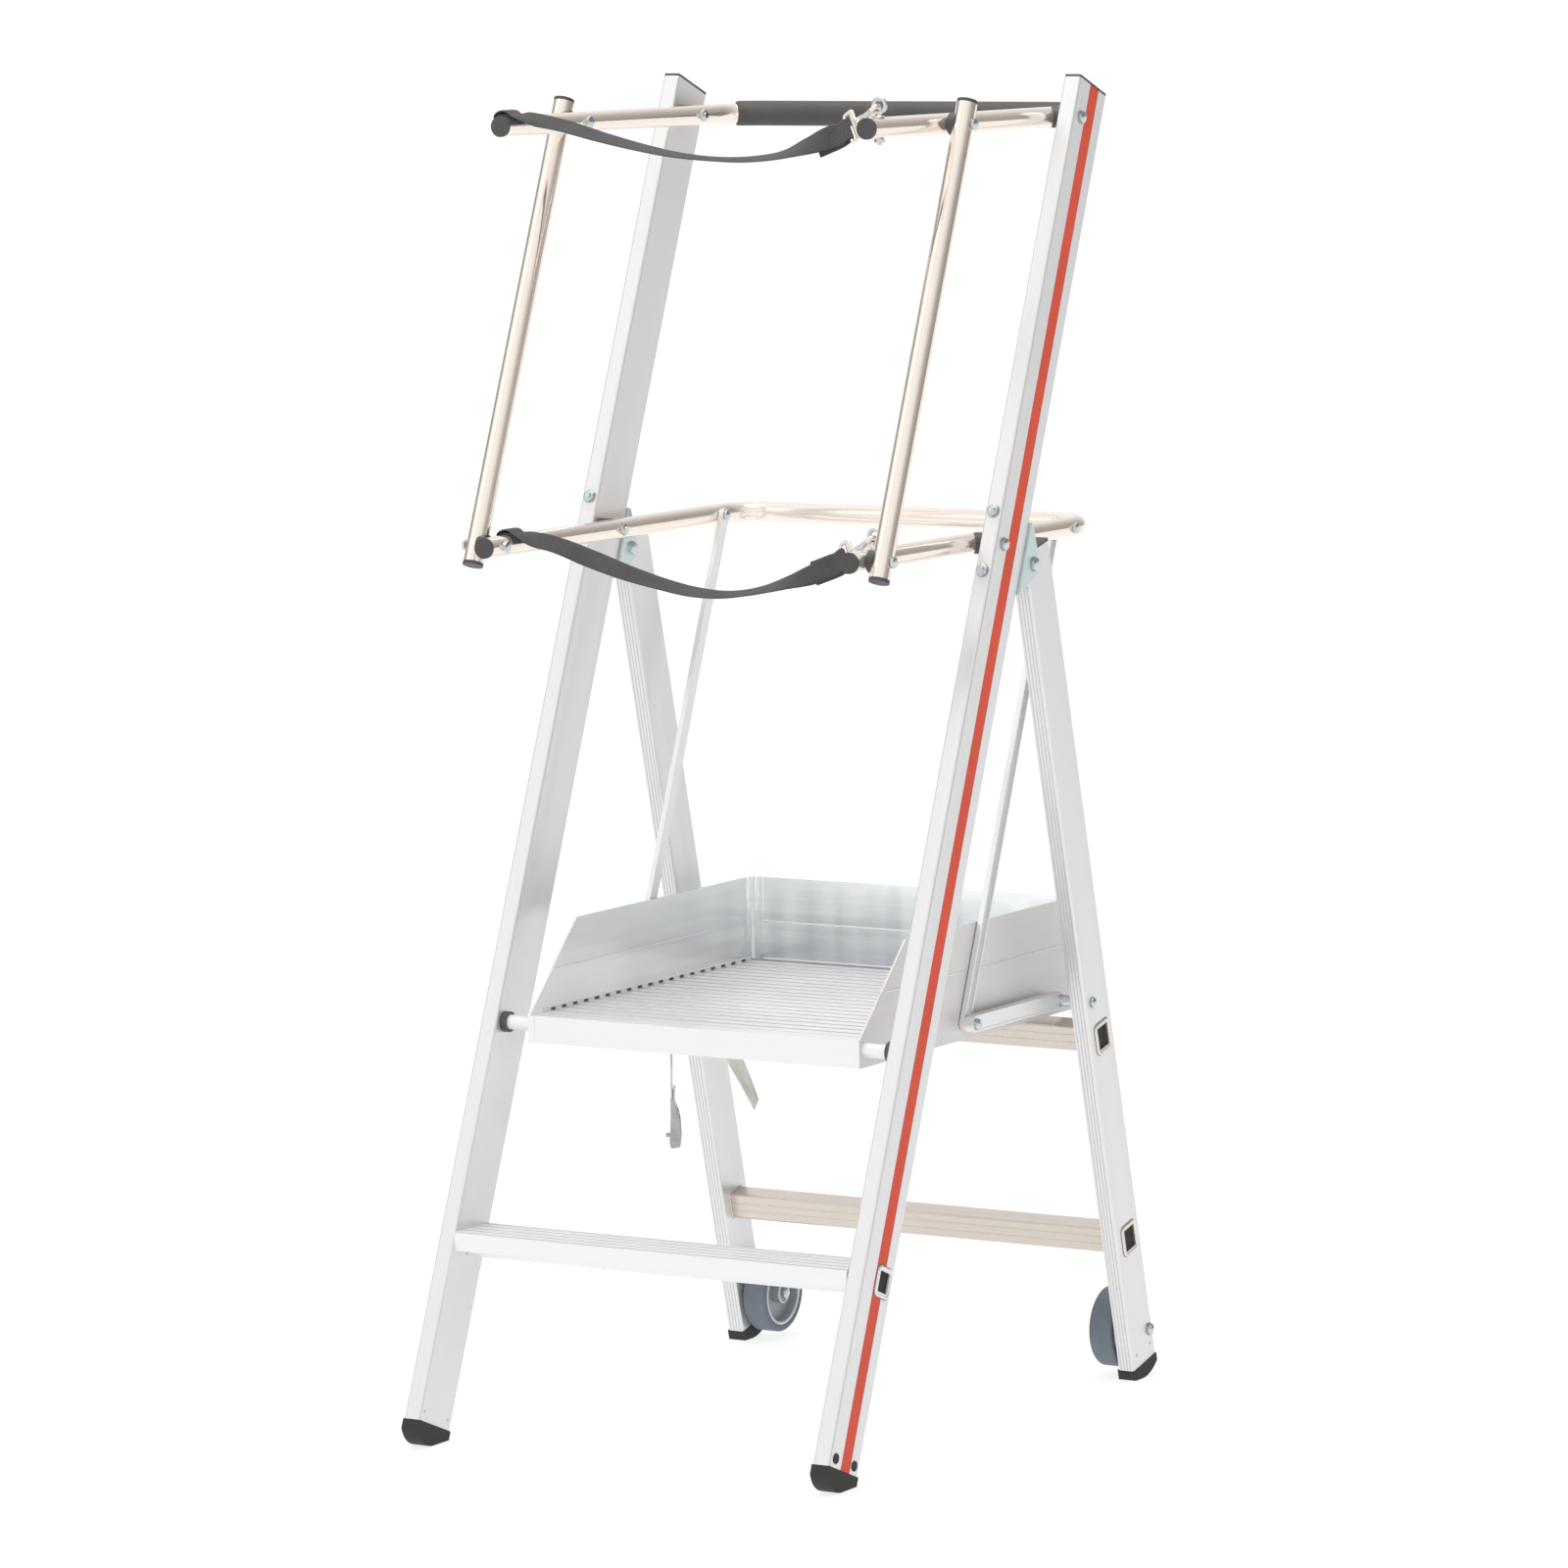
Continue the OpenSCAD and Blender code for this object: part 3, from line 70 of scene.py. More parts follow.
# Front stile: depth, length, rail pivots, stripe, the tread's tenon and rivets (behind the face, along it)
STILE_D, STILE_L = 71.0, 1698.94
PIVOT_S, MID_L, TOP_L = 19.0, 1117.21, 1653.94
STRIPE_S, BEAD_SINK, BEAD_END, BEAD_RISE = (28.0, 50.0), 0.1, 0.2, 0.55
TENON_S, TENON_L, TENON_D, TENON_H, TENON_ROOM = 48.0, 226.768, 28.0, 30.0, 20.0
FRONT_RIVETS, RIVET_H = ((8.7, 11.3), (61.4, 11.3), (33.5, 209.6)), 0.9
# Hinge bracket: place along the stile, spread of its bolts, wall, and the pin's place, lugs and width
HINGE_L, HINGE_SPREAD, HINGE_WALL = 1115.21, 37.0, 3.0
HINGE_S, HINGE_LUG, HINGE_PIN = 22.0, 3.4, 10.0
# Rails: (pivot to the rear, level), with the eye's place added for each, then tube, bends, sleeve and eye bolt
MID_RAIL, TOP_RAIL = (434.334, 1066.0), (634.529, 1564.0)
RAILS = {"top": (*TOP_RAIL, 222.529), "mid": (*MID_RAIL, 203.334)}
TUBE, BEND = 25.0, 50.0
SLEEVE_D, SLEEVE_TURN, SLEEVE_SOFT, SLEEVE_FIT = 31.0, np.radians(46.0), 4.0, 0.1
EYE_RISE, EYE_R, EYE_ROD, EYE_SHANK, EYE_FOOT = 26.0, 8.0, 5.0, 6.0, 13.0
POST_REACH, STRUT_ARM = 265.0, 233.0
# Rear stile: link pivot, wheel axle, rivets, ends, front face and its grooves (from the hinge)
LINK_AT, WHEEL_AT = (7.5, -567.73), (40.0, -1018.47)
REAR_RIVETS = ((2.0, -1038.0), (38.0, -1037.8))
REAR_ENDS, REAR_FACE = (-1053.18, 13.0), -10.5
GROOVES, GROOVE_T, GROOVE_W, GROOVE_FILL = 4, 0.4, 1.0, 0.2
# Links: front pivot, the rear pivot's place, thickness and half height
LINK_FRONT, LINK_REAR, LINK_T, LINK_R = (16.729, 488.0), 230.536, 12.0, 7.8
# Rear bars: place behind the hinge line, depth, height, corners, levels and ridges
BAR_S, BAR_D, BAR_H, BAR_CORNER = 20.5, 30.0, 33.0, 4.0
BAR_Z, BAR_RIDGES, RIDGE_W, RIDGE_H = (182.0, 443.0), (-5.0, 5.0), 2.0, 0.7
# Outlines of the flared ends round bars and tenons, as (outward, off the face)
COLLAR = [(0.0, 0.0), (2.2, 0.0), (2.2, 0.5), (1.5, 1.3), (0.3, 1.6), (-0.3, 1.6), (-0.3, 0.2)]
LIP = [(3.2, -0.2), (3.3, 0.7), (2.7, 1.5), (1.6, 1.9), (0.4, 1.7), (-0.6, 1.1), (-1.6, -0.6), (-1.6, -1.2)]
# The last outline is a near-black ring round the foot of each flare: a painted shadow line
SEAT_SHADOW = [(4.3, -0.2), (4.3, 0.12), (3.0, 0.3), (2.8, -0.2)]
# Bolts: shank, head across its flats, head's height, play, spacer, and how far a shank enters its head
BOLT, HEX, HEAD, GAP, SPACER, BITE = 8.0, 13.0, 4.5, 0.4, 14.0, 1.0
# Platform: front, depth, level, heights, slanted run of the side boards, board, channel and seam
DECK_Y, DECK_D, DECK_Z, DECK_H = 189.48, 526.0, 500.0, 33.0
TOE_H, TOE_RUN, TOE_SEAM, BOARD_T, CHANNEL_D = 106.0, 112.0, 50.0, 2.5, 26.0
# Seams: rise on the side boards, then (width, rise) at the rear board's foot with its lift, and at its middle
SEAM_RISE, SEAM_START, FOOT_SEAM, FOOT_LIFT = 0.45, 2.0, (2.4, 1.4), 1.2
REAR_SEAM_WIDER, REAR_SEAM_RISE, REAR_SEAM_IN = 1.2, 0.6, 10.0
# Deck: ribs and the painted shade line at their feet, slots with a dark strip of painted shade behind them, edge
# flange and teeth, corner beads, rivets and end plates
RIB_H, RIB_PITCH, RIB_LEAD, SLOT_L, SLOT_T = 1.6, 24.875, 3.73, 11.0, 0.5
RIB_FOOT_DROP, RIB_FOOT_W, RIB_FOOT_RISE, RIB_FOOT_END = 0.62 * RIB_H, 0.75 * RIB_H, 0.35, 0.5
EDGE_LIFT, FLANGE_W, FLANGE_T, TOOTH_W, TOOTH_MIN = 2.0, 2.6, 1.1, 1.6, 1.0
CORNER_IN, CORNER_D = 2.0, 4.6
BOARD_RIVETS, BOARD_RIVET_LIFT, BOARD_RIVET_H, BOARD_RIVET_WIDER = (-63.0, 112.0), 5.6, 1.3, 1.6
PLATE_W, PLATE_IN, PLATE_EDGE = 9.0, 4.6, [(0.0, 0.0), (0.0, 0.5), (-0.3, 0.8)]
# Tread: front edge, level, the ridges' pitch, first place and number, and the painted shade line at their feet
TREAD_Y, TREAD_Z, TREAD_PITCH, TREAD_LEAD, TREAD_RIDGES = -335.43, 250.0, 8.056, 2.215, 9
TREAD_FOOT_DROP, TREAD_FOOT_W, TREAD_FOOT_RISE = 0.6, 0.8, 0.3
# Rings on the wheels: radius, thickness and depth below the wheel's face
WHEEL_RINGS = ((39.6, 3.4, 1.6), (12.2, 2.6, 0.2))

# Flat loop at a closure's start, round the left tube: angle and rise above the tube
FOLD_TURN = np.radians([8, 30, 52, 74, 96, 118, 133, 140.5, 133, 114, 94, 74, 56])
FOLD_RISE = np.array([1.3, 1.3, 1.3, 1.3, 1.3, 1.3, 1.4, 2.9, 4.4, 5.4, 5.7, 5.3, 4.4])
# Runs of the closures' webbing, and the direction of the webbing's width at each point
CLOSURE_RUNS = {
    "top": np.array([
        (-232, -208, 1576.4), (-215, -204, 1571.8), (-180, -200, 1564.6), (-130, -199, 1552),
        (-80, -197, 1540.6), (-30, -194, 1531.3), (20, -191.5, 1526.6), (70, -191, 1526.4),
        (110, -192.5, 1530.9), (150, -196, 1542.1), (185, -198.5, 1552.7)]),
    "mid": np.array([
        (-232, -217, 1078), (-215, -219, 1073.8), (-180, -224, 1067.6), (-130, -229, 1053.6),
        (-80, -233, 1039.7), (-30, -236, 1028.5), (20, -238, 1020.3), (60, -238, 1019),
        (100, -235, 1024.6), (140, -229, 1035.8), (180, -219.5, 1049.9)]),
}
CLOSURE_SIDES = {
    "top": np.array([
        (0, 1, .2), (0, 1, .46), (0, 1, .43), (0, 1, .315), (0, 1, .2), (0, 1, .115), (0, 1, .09), (0, 1, .2),
        (0, 1, .355), (-.22, .66, .66), (-.4, .3, .8)]),
    "mid": np.array([
        (0, 1, .2), (0, 1, .53), (0, 1, .57), (0, 1, .67), (0, 1, .53), (0, 1, .355), (0, 1, .28),
        (0, 1, .215), (0, 1, .28), (-.15, .8, .52), (-.4, .4, .8)]),
}
# Webbing in a hook's slot: distance from the eye along the hook and offset to the rear, then the sewn tail
SLOT_U = np.array([61.0, 55.0, 50.0, 47.6, 50.0, 55.0])
SLOT_Y = np.array([-2.9, -3.4, -2.9, 0.0, 2.9, 3.6])
TAIL_RUN, TAIL_SIDE = np.array([(-14, 1.8, -4.9), (-30, 5.0, -10.4), (-46, 9.0, -15.8)]), (-.33, 0.0, .94)
# Sewn stretches from the loop's end and from the tail's start, in metres, and the outer rows' place
LOOP_SEWN, TAIL_SEWN, SEWN_EDGE = (0.004, 0.026), (-0.004, 0.016), 0.36
# Snap hook: slope, then its bar as (along from the eye, to the rear) with half widths at points of it
HOOK_SLOPE, SLIDER_ROLL = np.radians((34.0, 22.0))
HOOK_STEM, HOOK_TIP = [(31.5, 5.4), (27, 6.0), (21, 6.3), (14, 6.2)], [(10.6, -6.0)]
HOOK_BEND_U, HOOK_BEND_R, HOOK_T = 8.0, 6.0, 2.2
HOOK_HALF = ([0, 2, 4, 9, 15, 17], [4.6, 4.4, 3.9, 3.0, 2.8, 2.4])
# The hook's swivel, slotted frame and bridge: radius or size, place along the hook
KNOB_R, KNOB_U, KNOB_L, KNOB_WIDE = 4.6, 30.5, 5.2, 1.75
SLIDER_W, SLIDER_H, SLIDER_CORNER, SLIDER_R, SLIDER_U = 39.0, 13.0, 3.0, 2.0, 44.0
BRIDGE_HALF, BRIDGE_U, BRIDGE_W, BRIDGE_T = 19.0, 40.2, 3.4, 1.5
# Carrying strap, in metres, and the direction of its width
CARRY_ROUTE = np.array([
    (-.1573, -.0176, .342), (-.1573, -.0176, .358), (-.158, -.018, .380), (-.158, -.018, .410),
    (-.157, -.018, .440), (-.152, -.018, .458), (-.142, -.018, .468), (-.126, -.018, .468),
    (-.105, -.018, .4675), (-.091, -.018, .461), (-.079, -.018, .447), (-.066, -.018, .425),
    (-.052, -.018, .401), (-.038, -.018, .374)])
CARRY_SIDES = np.array([
    (-.5, .86, 0), (-.5, .86, 0), (-.5, .86, 0), (-.5, .86, 0), (-.4, .9, 0), (-.2, 1, 0), (0, 1, 0),
    (.1, 1, 0), (.25, .97, 0), (.4, .92, 0), (.45, .89, 0), (.35, .94, 0), (.1, 1, 0), (-.15, .98, 0)], float)
# Cam buckle: place, turn and sizes, then its parts as (out from its back, up from its foot)
BUCKLE = np.array([-158.0, -18.0, 376.0])
BUCKLE_TURN, BUCKLE_W, BUCKLE_T, BUCKLE_SOFT = np.radians(30.0), 27.0, 1.6, 0.35
BUCKLE_CROSS = np.array([-np.sin(BUCKLE_TURN), np.cos(BUCKLE_TURN), 0.0])
BUCKLE_OUT = np.array([np.cos(BUCKLE_TURN), np.sin(BUCKLE_TURN), 0.0])
CHEEK = np.array([
    (-1.6, 0), (1.0, 0.4), (3.0, -6), (6.4, -15), (9.4, -25), (10.6, -40), (10.8, -55), (9.4, -61), (4.5, -62),
    (-1.5, -62), (-2.6, -58), (-2.2, -40), (-1.6, -20), (-1.6, 0)], float)
BACK_PLATE = np.array([
    (-1.6, -30.4), (-1.2, -30), (-0.4, -30), (0, -30.4), (0, -59.6), (-0.4, -60), (-1.2, -60), (-1.6, -59.6)])
ROLLER_AT, STUD_AT, LEVER_PIN = (4.6, -54.0), (-1.4, -48.0), (5.5, -22.0)
ROLLER_D, STUD_D, STUD_L, PIN_D = 5.0, 5.4, -6.0, 4.0
LEVER_LINE = np.array([(0.0, -2.0), (-0.3, -12.0), (-0.1, -24.0), (0.8, -32.0), (2.2, -37.0)])
LEVER_PLAY, LEVER_HALF, LEVER_R, LEVER_RIB, LEVER_RIBS = 0.6, 0.75, 3.25, 0.25, 8
BUCKLE_TAIL = np.array([(3.6, 12.0), (2.4, 4.0), (2.3, -3.0), (3.4, -10.0), (5.0, -16.0)])

# Stage, in metres: camera's sensor in millimetres and farthest sight, floor, lamps and the studio's colours
SENSOR, FAR_SIGHT, FLOOR_R, FLOOR_DROP = 36.0, 400.0, 150.0, 0.0005
LAMPS = (("key", (-3.2, -4.6, 4.6), 3.2, 7.0), ("overhead", (-0.2, -0.2, 4.6), 2.4, 75.0),
         ("fill", (4.6, -3.0, 2.6), 2.4, 2.0))
LAMP_AIM = np.array([0.0, 0.0, 0.8])
DARK_SIDE, DARK_STRIP = (0.80, 0.59, 0.10), (-0.97, 0.0, 0.22)
STUDIO = ((0.0, (0.95, 0.95, 0.95)), (0.45, (1.0, 1.0, 1.0)), (0.70, (0.80, 0.80, 0.81)),
          (0.92, (0.34, 0.325, 0.31)), (1.0, (0.22, 0.205, 0.19)))
STRIP_STOPS = ((0.90, (1.0, 1.0, 1.0)), (0.97, (0.20, 0.18, 0.16)))


def length_prop(name, text, default):
    """A length in metres that a user may change."""
    return bpy.props.FloatProperty(name=name, description=text, default=default, min=0.0, unit="LENGTH",
                                   precision=4)


def angle_prop(name, text, degrees):
    """An angle, given in degrees."""
    return bpy.props.FloatProperty(name=name, description=text, default=np.radians(degrees), subtype="ANGLE")


def colour_prop(name, text, default):
    """A surface colour."""
    return bpy.props.FloatVectorProperty(name=name, description=text, default=default, min=0.0, max=1.0,
                                         size=3, subtype="COLOR")


class PodiumWebbing(bpy.types.PropertyGroup):
    """Sizes of the webbing."""

    closure: length_prop("Closure width", "Width of the closures' webbing", 0.029)
    carry: length_prop("Carrying width", "Width of the carrying strap's webbing", 0.025)
    thickness: length_prop("Thickness", "Thickness of the webbing", 0.002)
    rib: length_prop("Rib height", "Height of the woven ribs along the webbing", 0.00016)
    stitch: length_prop("Stitch", "Length of one stitch", 0.0026)
    slant: length_prop("Slant", "Slant of the carrying strap's tip", 0.012)


class PodiumTrim(bpy.types.PropertyGroup):
    """Sizes of small trim."""

    bead: length_prop("Bead", "Width of the beads beside the stripes", 0.0012)
    rivet: length_prop("Rivet", "Radius of the rivet heads", 0.0022)
    seam: length_prop("Seam", "Width of the seam beads on the boards", 0.0016)
    washer: length_prop("Washer", "Radius of the washers under bolt heads", 0.0082)


class PodiumFinish(bpy.types.PropertyGroup):
    """Colours of the finishes."""

    aluminium: colour_prop("Aluminium", "Bare extruded aluminium", (0.83, 0.83, 0.833))
    board: colour_prop("Boards", "Sheet aluminium of the boards", (0.80, 0.81, 0.82))
    steel: colour_prop("Tube steel", "Polished tube", (0.935, 0.85, 0.765))
    zinc: colour_prop("Zinc", "Blue passivated zinc", (0.60, 0.65, 0.665))
    stripe: colour_prop("Stripe", "Foil stripe on the stiles", (0.73, 0.076, 0.031))
    plastic: colour_prop("Plastic", "Moulded caps and bushes", (0.062, 0.060, 0.062))
    rubber: colour_prop("Rubber", "Feet and rail sleeve", (0.066, 0.063, 0.060))
    tyre: colour_prop("Tyre", "Wheel tyres", (0.135, 0.16, 0.19))
    hub: colour_prop("Hub", "Wheel hubs", (0.33, 0.35, 0.37))
    black_webbing: colour_prop("Closure webbing", "Webbing of the closures", (0.05, 0.049, 0.05))
    grey_webbing: colour_prop("Carrying webbing", "Webbing of the carrying strap", (0.74, 0.71, 0.67))


class PodiumStage(bpy.types.PropertyGroup):
    """Camera and floor."""

    lens: bpy.props.FloatProperty(name="Lens", description="Focal length in millimetres", default=168.971)
    azimuth: angle_prop("Azimuth", "Camera's turn round the part", 30.639)
    elevation: angle_prop("Elevation", "Camera's height angle", 6.82)
    roll: angle_prop("Roll", "Camera's tilt", -0.671)
    place: bpy.props.FloatVectorProperty(name="Place", description="Camera's place", size=3, subtype="XYZ",
                                         default=(4.4961, -7.59755, 1.8225), unit="LENGTH")
    floor: colour_prop("Floor", "Plain floor", (0.25, 0.25, 0.25))
    floor_glow: bpy.props.FloatProperty(name="Floor glow", description="Light given off by the floor",
                                        default=0.8, min=0.0, max=1.0, subtype="FACTOR")


# Shapes -------------------------------------------------------------------------------------------
# A part is an array of points in millimetres and a list of face blocks, each an array of point numbers.


def unit(v):
    """The vectors at length one."""
    return v / np.linalg.norm(v, axis=-1, keepdims=True)


def xyz(x, y, z):
    """Points from three coordinates, any of which may be one value for all."""
    return np.stack(np.broadcast_arrays(x, y, z), -1)


def around(count):
    """Angles of points spaced evenly round a circle."""
    return np.linspace(0, 2 * np.pi, count, endpoint=False)


def oval(count, power=1.0):
    """A circle of radius one, squarer as the power drops: each coordinate to that power, with its sign."""
    circle = np.stack([np.cos(around(count)), np.sin(around(count))], 1)
    return np.sign(circle) * np.abs(circle) ** power


def through(values, knots, count):
    """Values on one smooth curve: Hermite cubics whose slopes are the weighted mean of the spans beside."""
    values, span = np.asarray(values, float), np.diff(knots)[:, None]
    chord = np.diff(values, axis=0) / span
    inner = (chord[1:] * span[:-1] + chord[:-1] * span[1:]) / (span[1:] + span[:-1])
    slope = np.concatenate([chord[:1], inner, chord[-1:]])
    at = np.linspace(0, knots[-1], count)
    k = np.clip(np.searchsorted(knots, at, side="right") - 1, 0, len(knots) - 2)
    u = ((at - knots[k]) / span[k, 0])[:, None]
    return ((2 * u ** 3 - 3 * u ** 2 + 1) * values[k] + (u ** 3 - 2 * u ** 2 + u) * span[k] * slope[k]
            + (3 * u ** 2 - 2 * u ** 3) * values[k + 1] + (u ** 3 - u ** 2) * span[k] * slope[k + 1])


def knots_of(points):
    """Distance along the points."""
    return np.concatenate([[0], np.cumsum(np.linalg.norm(np.diff(points, axis=0), axis=1))])


def net(grid, closed=False):
    """Four-sided faces over a grid whose columns go round; its rows go round too, or both ends get a face."""
    rows, cols = grid.shape[:2]
    i, j = np.meshgrid(np.arange(rows - (not closed)), np.arange(cols), indexing="ij")
    i2, j2 = (i + 1) % rows, (j + 1) % cols
    blocks = [np.stack([i * cols + j, i * cols + j2, i2 * cols + j2, i2 * cols + j], -1).reshape(-1, 4)]
    if not closed:
        end = np.arange(cols)[None]
        blocks += [end[:, ::-1], end + (rows - 1) * cols]
    return grid.reshape(-1, 3), blocks


def turned(profile, count=32):
    """A profile of (radius, height) turned about Z: x = r cos a, y = r sin a, z = h."""
    r, h = np.asarray(profile, float).T[:, :, None]
    a = around(count)
    return net(xyz(r * np.cos(a), r * np.sin(a), h))


def ring(radius, thick):
    """A torus about Z: a circle of the rod's radius carried round a larger circle."""
    a, b = around(48)[:, None], around(16)
    r = radius + thick / 2 * np.cos(b)
    return net(xyz(r * np.cos(a), r * np.sin(a), thick / 2 * np.sin(b)), closed=True)


def rod(start, end, d, chamfer=0.4):
    """A round bar along Z with both edges chamfered."""
    r = d / 2
    return turned([(r - chamfer, start), (r, start + chamfer), (r, end - chamfer), (r - chamfer, end)], 24)


def hex_head(start, end, width):
    """A six-sided bar along Z: radius half the width over cos a in each sixth, cut by a cone at its free end."""
    a = around(48)
    flat_side = width / 2 / np.cos((a + np.pi / 6) % (np.pi / 3) - np.pi / 6)
    drop = np.array([abs(end - start), 0.9, 0.7, 0.5, 0.3, 0.15, 0.0])[:, None]
    r = np.minimum(flat_side, 0.47 * width + 1.9 * drop)
    return net(xyz(r * np.cos(a), r * np.sin(a), end - np.sign(end - start) * drop))


def thread(start, end, d, pitch=1.25, depth=0.35):
    """A bolt's threaded end along Z: the radius follows a triangle wave of the pitch."""
    h = np.linspace(start, end, int(abs(end - start) / pitch * 4) + 3)
    r = d / 2 - depth + depth * np.abs(((h - start) / pitch * 2) % 2 - 1)
    r[-1] -= 0.5
    return turned(np.stack([r, h], 1), 24)


def dome(start, height, d, rise=0.75):
    """A round head along Z: a short side, then a quarter of an ellipse up to a small flat."""
    t = np.linspace(0, np.pi / 2, 8)[:-1]
    r = d / 2 * np.concatenate([[0.98, 1.0], np.cos(t), [0.12]])
    h = start + height * np.concatenate([[0.0, 0.1], 1 - rise + rise * np.sin(t), [1.0]])
    return turned(np.stack([r, h], 1))


def seated(part, origin, *axes):
    """A part whose own X, Y and Z are turned to the axes, moved to the origin."""
    return part[0] @ np.array(axes) + np.asarray(origin, float), part[1]


def placed(part, origin, axis):
    """A part whose own Z is turned to the axis, moved to the origin."""
    axis = unit(np.asarray(axis, float))
    x = unit(np.cross(UP if abs(axis[2]) < 0.9 else REARWARD, axis))
    return seated(part, origin, x, np.cross(axis, x), axis)


def on_side(parts, side):
    """The parts on the right side, or their images on the left."""
    return [(points * np.array([side, 1.0, 1.0]), faces) for points, faces in parts]


def mirrored(parts):
    """The parts and their images on the other side."""
    return parts + on_side(parts, -1.0)


def front(x, s, l):
    """Point of a front stile in the shared frame: across, behind its face, along it."""
    return xyz(x, s * FRONT_BACK[1] + l * FRONT_UP[1] - MID_Y,
               FRONT_BASE_Z + s * FRONT_BACK[2] + l * FRONT_UP[2])


def rear(x, s, l):
    """Point of a rear stile in the shared frame: across, behind the hinge, along it from the hinge."""
    return xyz(x, HINGE[0] + s * REAR_BACK[1] + l * REAR_UP[1] - MID_Y,
               HINGE[1] + s * REAR_BACK[2] + l * REAR_UP[2])


def bar_along(z):
    """Place along a rear stile of the bar whose middle is at that level."""
    return (z - HINGE[1] - BAR_S * REAR_BACK[2]) / REAR_UP[2]


def on_hook(eye, z, u, y, across, roll=0.0):
    """Point of a hook in the shared frame: along it from the eye, to the rear, square across it."""
    c, sn = np.cos(HOOK_SLOPE), np.sin(HOOK_SLOPE)
    y, across = y * np.cos(roll) + across * np.sin(roll), across * np.cos(roll) - y * np.sin(roll)
    return xyz(RAIL_X - u * c - across * sn, eye - MID_Y + y, z + EYE_RISE - u * sn + across * c)


def on_buckle(x, y, z):
    """Point of the cam buckle in the shared frame: out from its back, across it, up from its foot."""
    return xyz(*(BUCKLE[k] + x * BUCKLE_OUT[k] + y * BUCKLE_CROSS[k] for k in (0, 1)), BUCKLE[2] + z)


def directions(path, sides):
    """Unit vectors along a path, across it by the sides, and out, square to both."""
    along = unit(np.gradient(path, axis=0))
    out = unit(np.cross(along, np.broadcast_to(sides, path.shape)))
    return along, np.cross(out, along), out


def bar(path, profile, sides, scale=1.0):
    """A profile of (across, out) carried along a path, at each point larger by its scale."""
    _, across, out = directions(path, sides)
    section = np.asarray(profile, float) * np.broadcast_to(scale, len(path))[:, None, None]
    return net(path[:, None] + section[..., :1] * across[:, None] + section[..., 1:] * out[:, None])


def bead(path, width, rise, sides):
    """A low bead on a flat face: half an ellipse carried along a path."""
    a = np.linspace(0, np.pi, 7)
    return bar(path, np.stack([width / 2 * np.cos(a), rise * np.sin(a)], 1), sides)


def frame_bead(wide, high, corner, section):
    """A bead round a rounded rectangle in the plane of X and Y: the outline's points are moved along their
    own outward direction by the section's first value and along Z by its second."""
    count, quarter = 8, np.arange(4)[:, None]
    turn = ((quarter + np.linspace(0, 1, count)) * np.pi / 2).reshape(-1, 1)
    diagonal = np.repeat((quarter + 0.5) * np.pi / 2, count)[:, None]
    section = np.asarray(section, float)
    reach = corner + section[:, 0]
    return net(xyz(np.sign(np.cos(diagonal)) * (wide / 2 - corner) + np.cos(turn) * reach,
                   np.sign(np.sin(diagonal)) * (high / 2 - corner) + np.sin(turn) * reach, section[:, 1]),
               closed=True)


def make(name, parts, body, finish, replaced=(), crease=32.0, weave=None, scale=MM):
    """One object from closed parts, with its normals outward and its sharp edges marked."""
    mesh = bpy.data.meshes.new(name)
    first = np.cumsum([0] + [len(points) for points, _ in parts[:-1]])
    mesh.from_pydata(np.concatenate([points for points, _ in parts]) * scale, [],
                     [face for (_, blocks), k in zip(parts, first) for block in blocks
                      for face in (block + k).tolist()])
    if weave is not None:
        layer = mesh.attributes.new("weave", "FLOAT_VECTOR", "POINT")
        layer.data.foreach_set("vector", np.ascontiguousarray(weave, np.float32).ravel())
    shell = bmesh.new()
    shell.from_mesh(mesh)
    bmesh.ops.recalc_face_normals(shell, faces=shell.faces)
    shell.to_mesh(mesh)
    shell.free()
    mesh.polygons.foreach_set("use_smooth", np.ones(len(mesh.polygons), bool))
    mesh.set_sharp_from_angle(angle=np.radians(crease))
    mesh.materials.append(finish_called(finish))
    obj = bpy.data.objects.new(name, mesh)
    bpy.context.scene.collection.objects.link(obj)
    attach(obj, body)
    if replaced:
        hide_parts(*replaced)
    return obj


# Finishes -----------------------------------------------------------------------------------------


def fill(tree, node, sockets):
    """Set each of a node's sockets to a value, or link it to another node's output."""
    for key, value in sockets.items():
        if isinstance(value, bpy.types.NodeSocket):
            tree.links.new(value, node.inputs[key])
        else:
            node.inputs[key].default_value = value


def add(tree, kind, sockets=None, **settings):
    """A node with its settings and sockets."""
    node = tree.nodes.new(kind)
    for key, value in settings.items():
        setattr(node, key, value)
    fill(tree, node, sockets or {})
    return node


def maths(tree, operation, *values):
    """The result of a calculation."""
    return add(tree, "ShaderNodeMath", dict(enumerate(values)), operation=operation).outputs[0]


def vectors(tree, operation, *values):
    """The result of a calculation with vectors."""
    node = add(tree, "ShaderNodeVectorMath", dict(enumerate(values)), operation=operation)
    return node.outputs["Value" if operation == "DOT_PRODUCT" else "Vector"]


def ramp(tree, value, *stops):
    """Colours along a value."""
    node = add(tree, "ShaderNodeValToRGB", {"Fac": value})
    while len(node.color_ramp.elements) < len(stops):
        node.color_ramp.elements.new(0.5)
    for element, (place, colour) in zip(node.color_ramp.elements, stops):
        element.position = place
        element.color = (*colour, 1.0)
    return node.outputs["Color"]


def ranged(tree, value, low, high, start=0.3, stop=0.7):
    """A value brought to another range."""
    return add(tree, "ShaderNodeMapRange", {"Value": value, "From Min": start, "From Max": stop, "To Min": low,
                                            "To Max": high}).outputs["Result"]


def finish_called(name):
    """The finish of that name."""
    return bpy.data.materials[f"podium_{name}"]


def begin(name):
    """A new material's node tree and its shader."""
    material = bpy.data.materials.new(f"podium_{name}")
    material.use_nodes = True
    return material.node_tree, material.node_tree.nodes["Principled BSDF"]


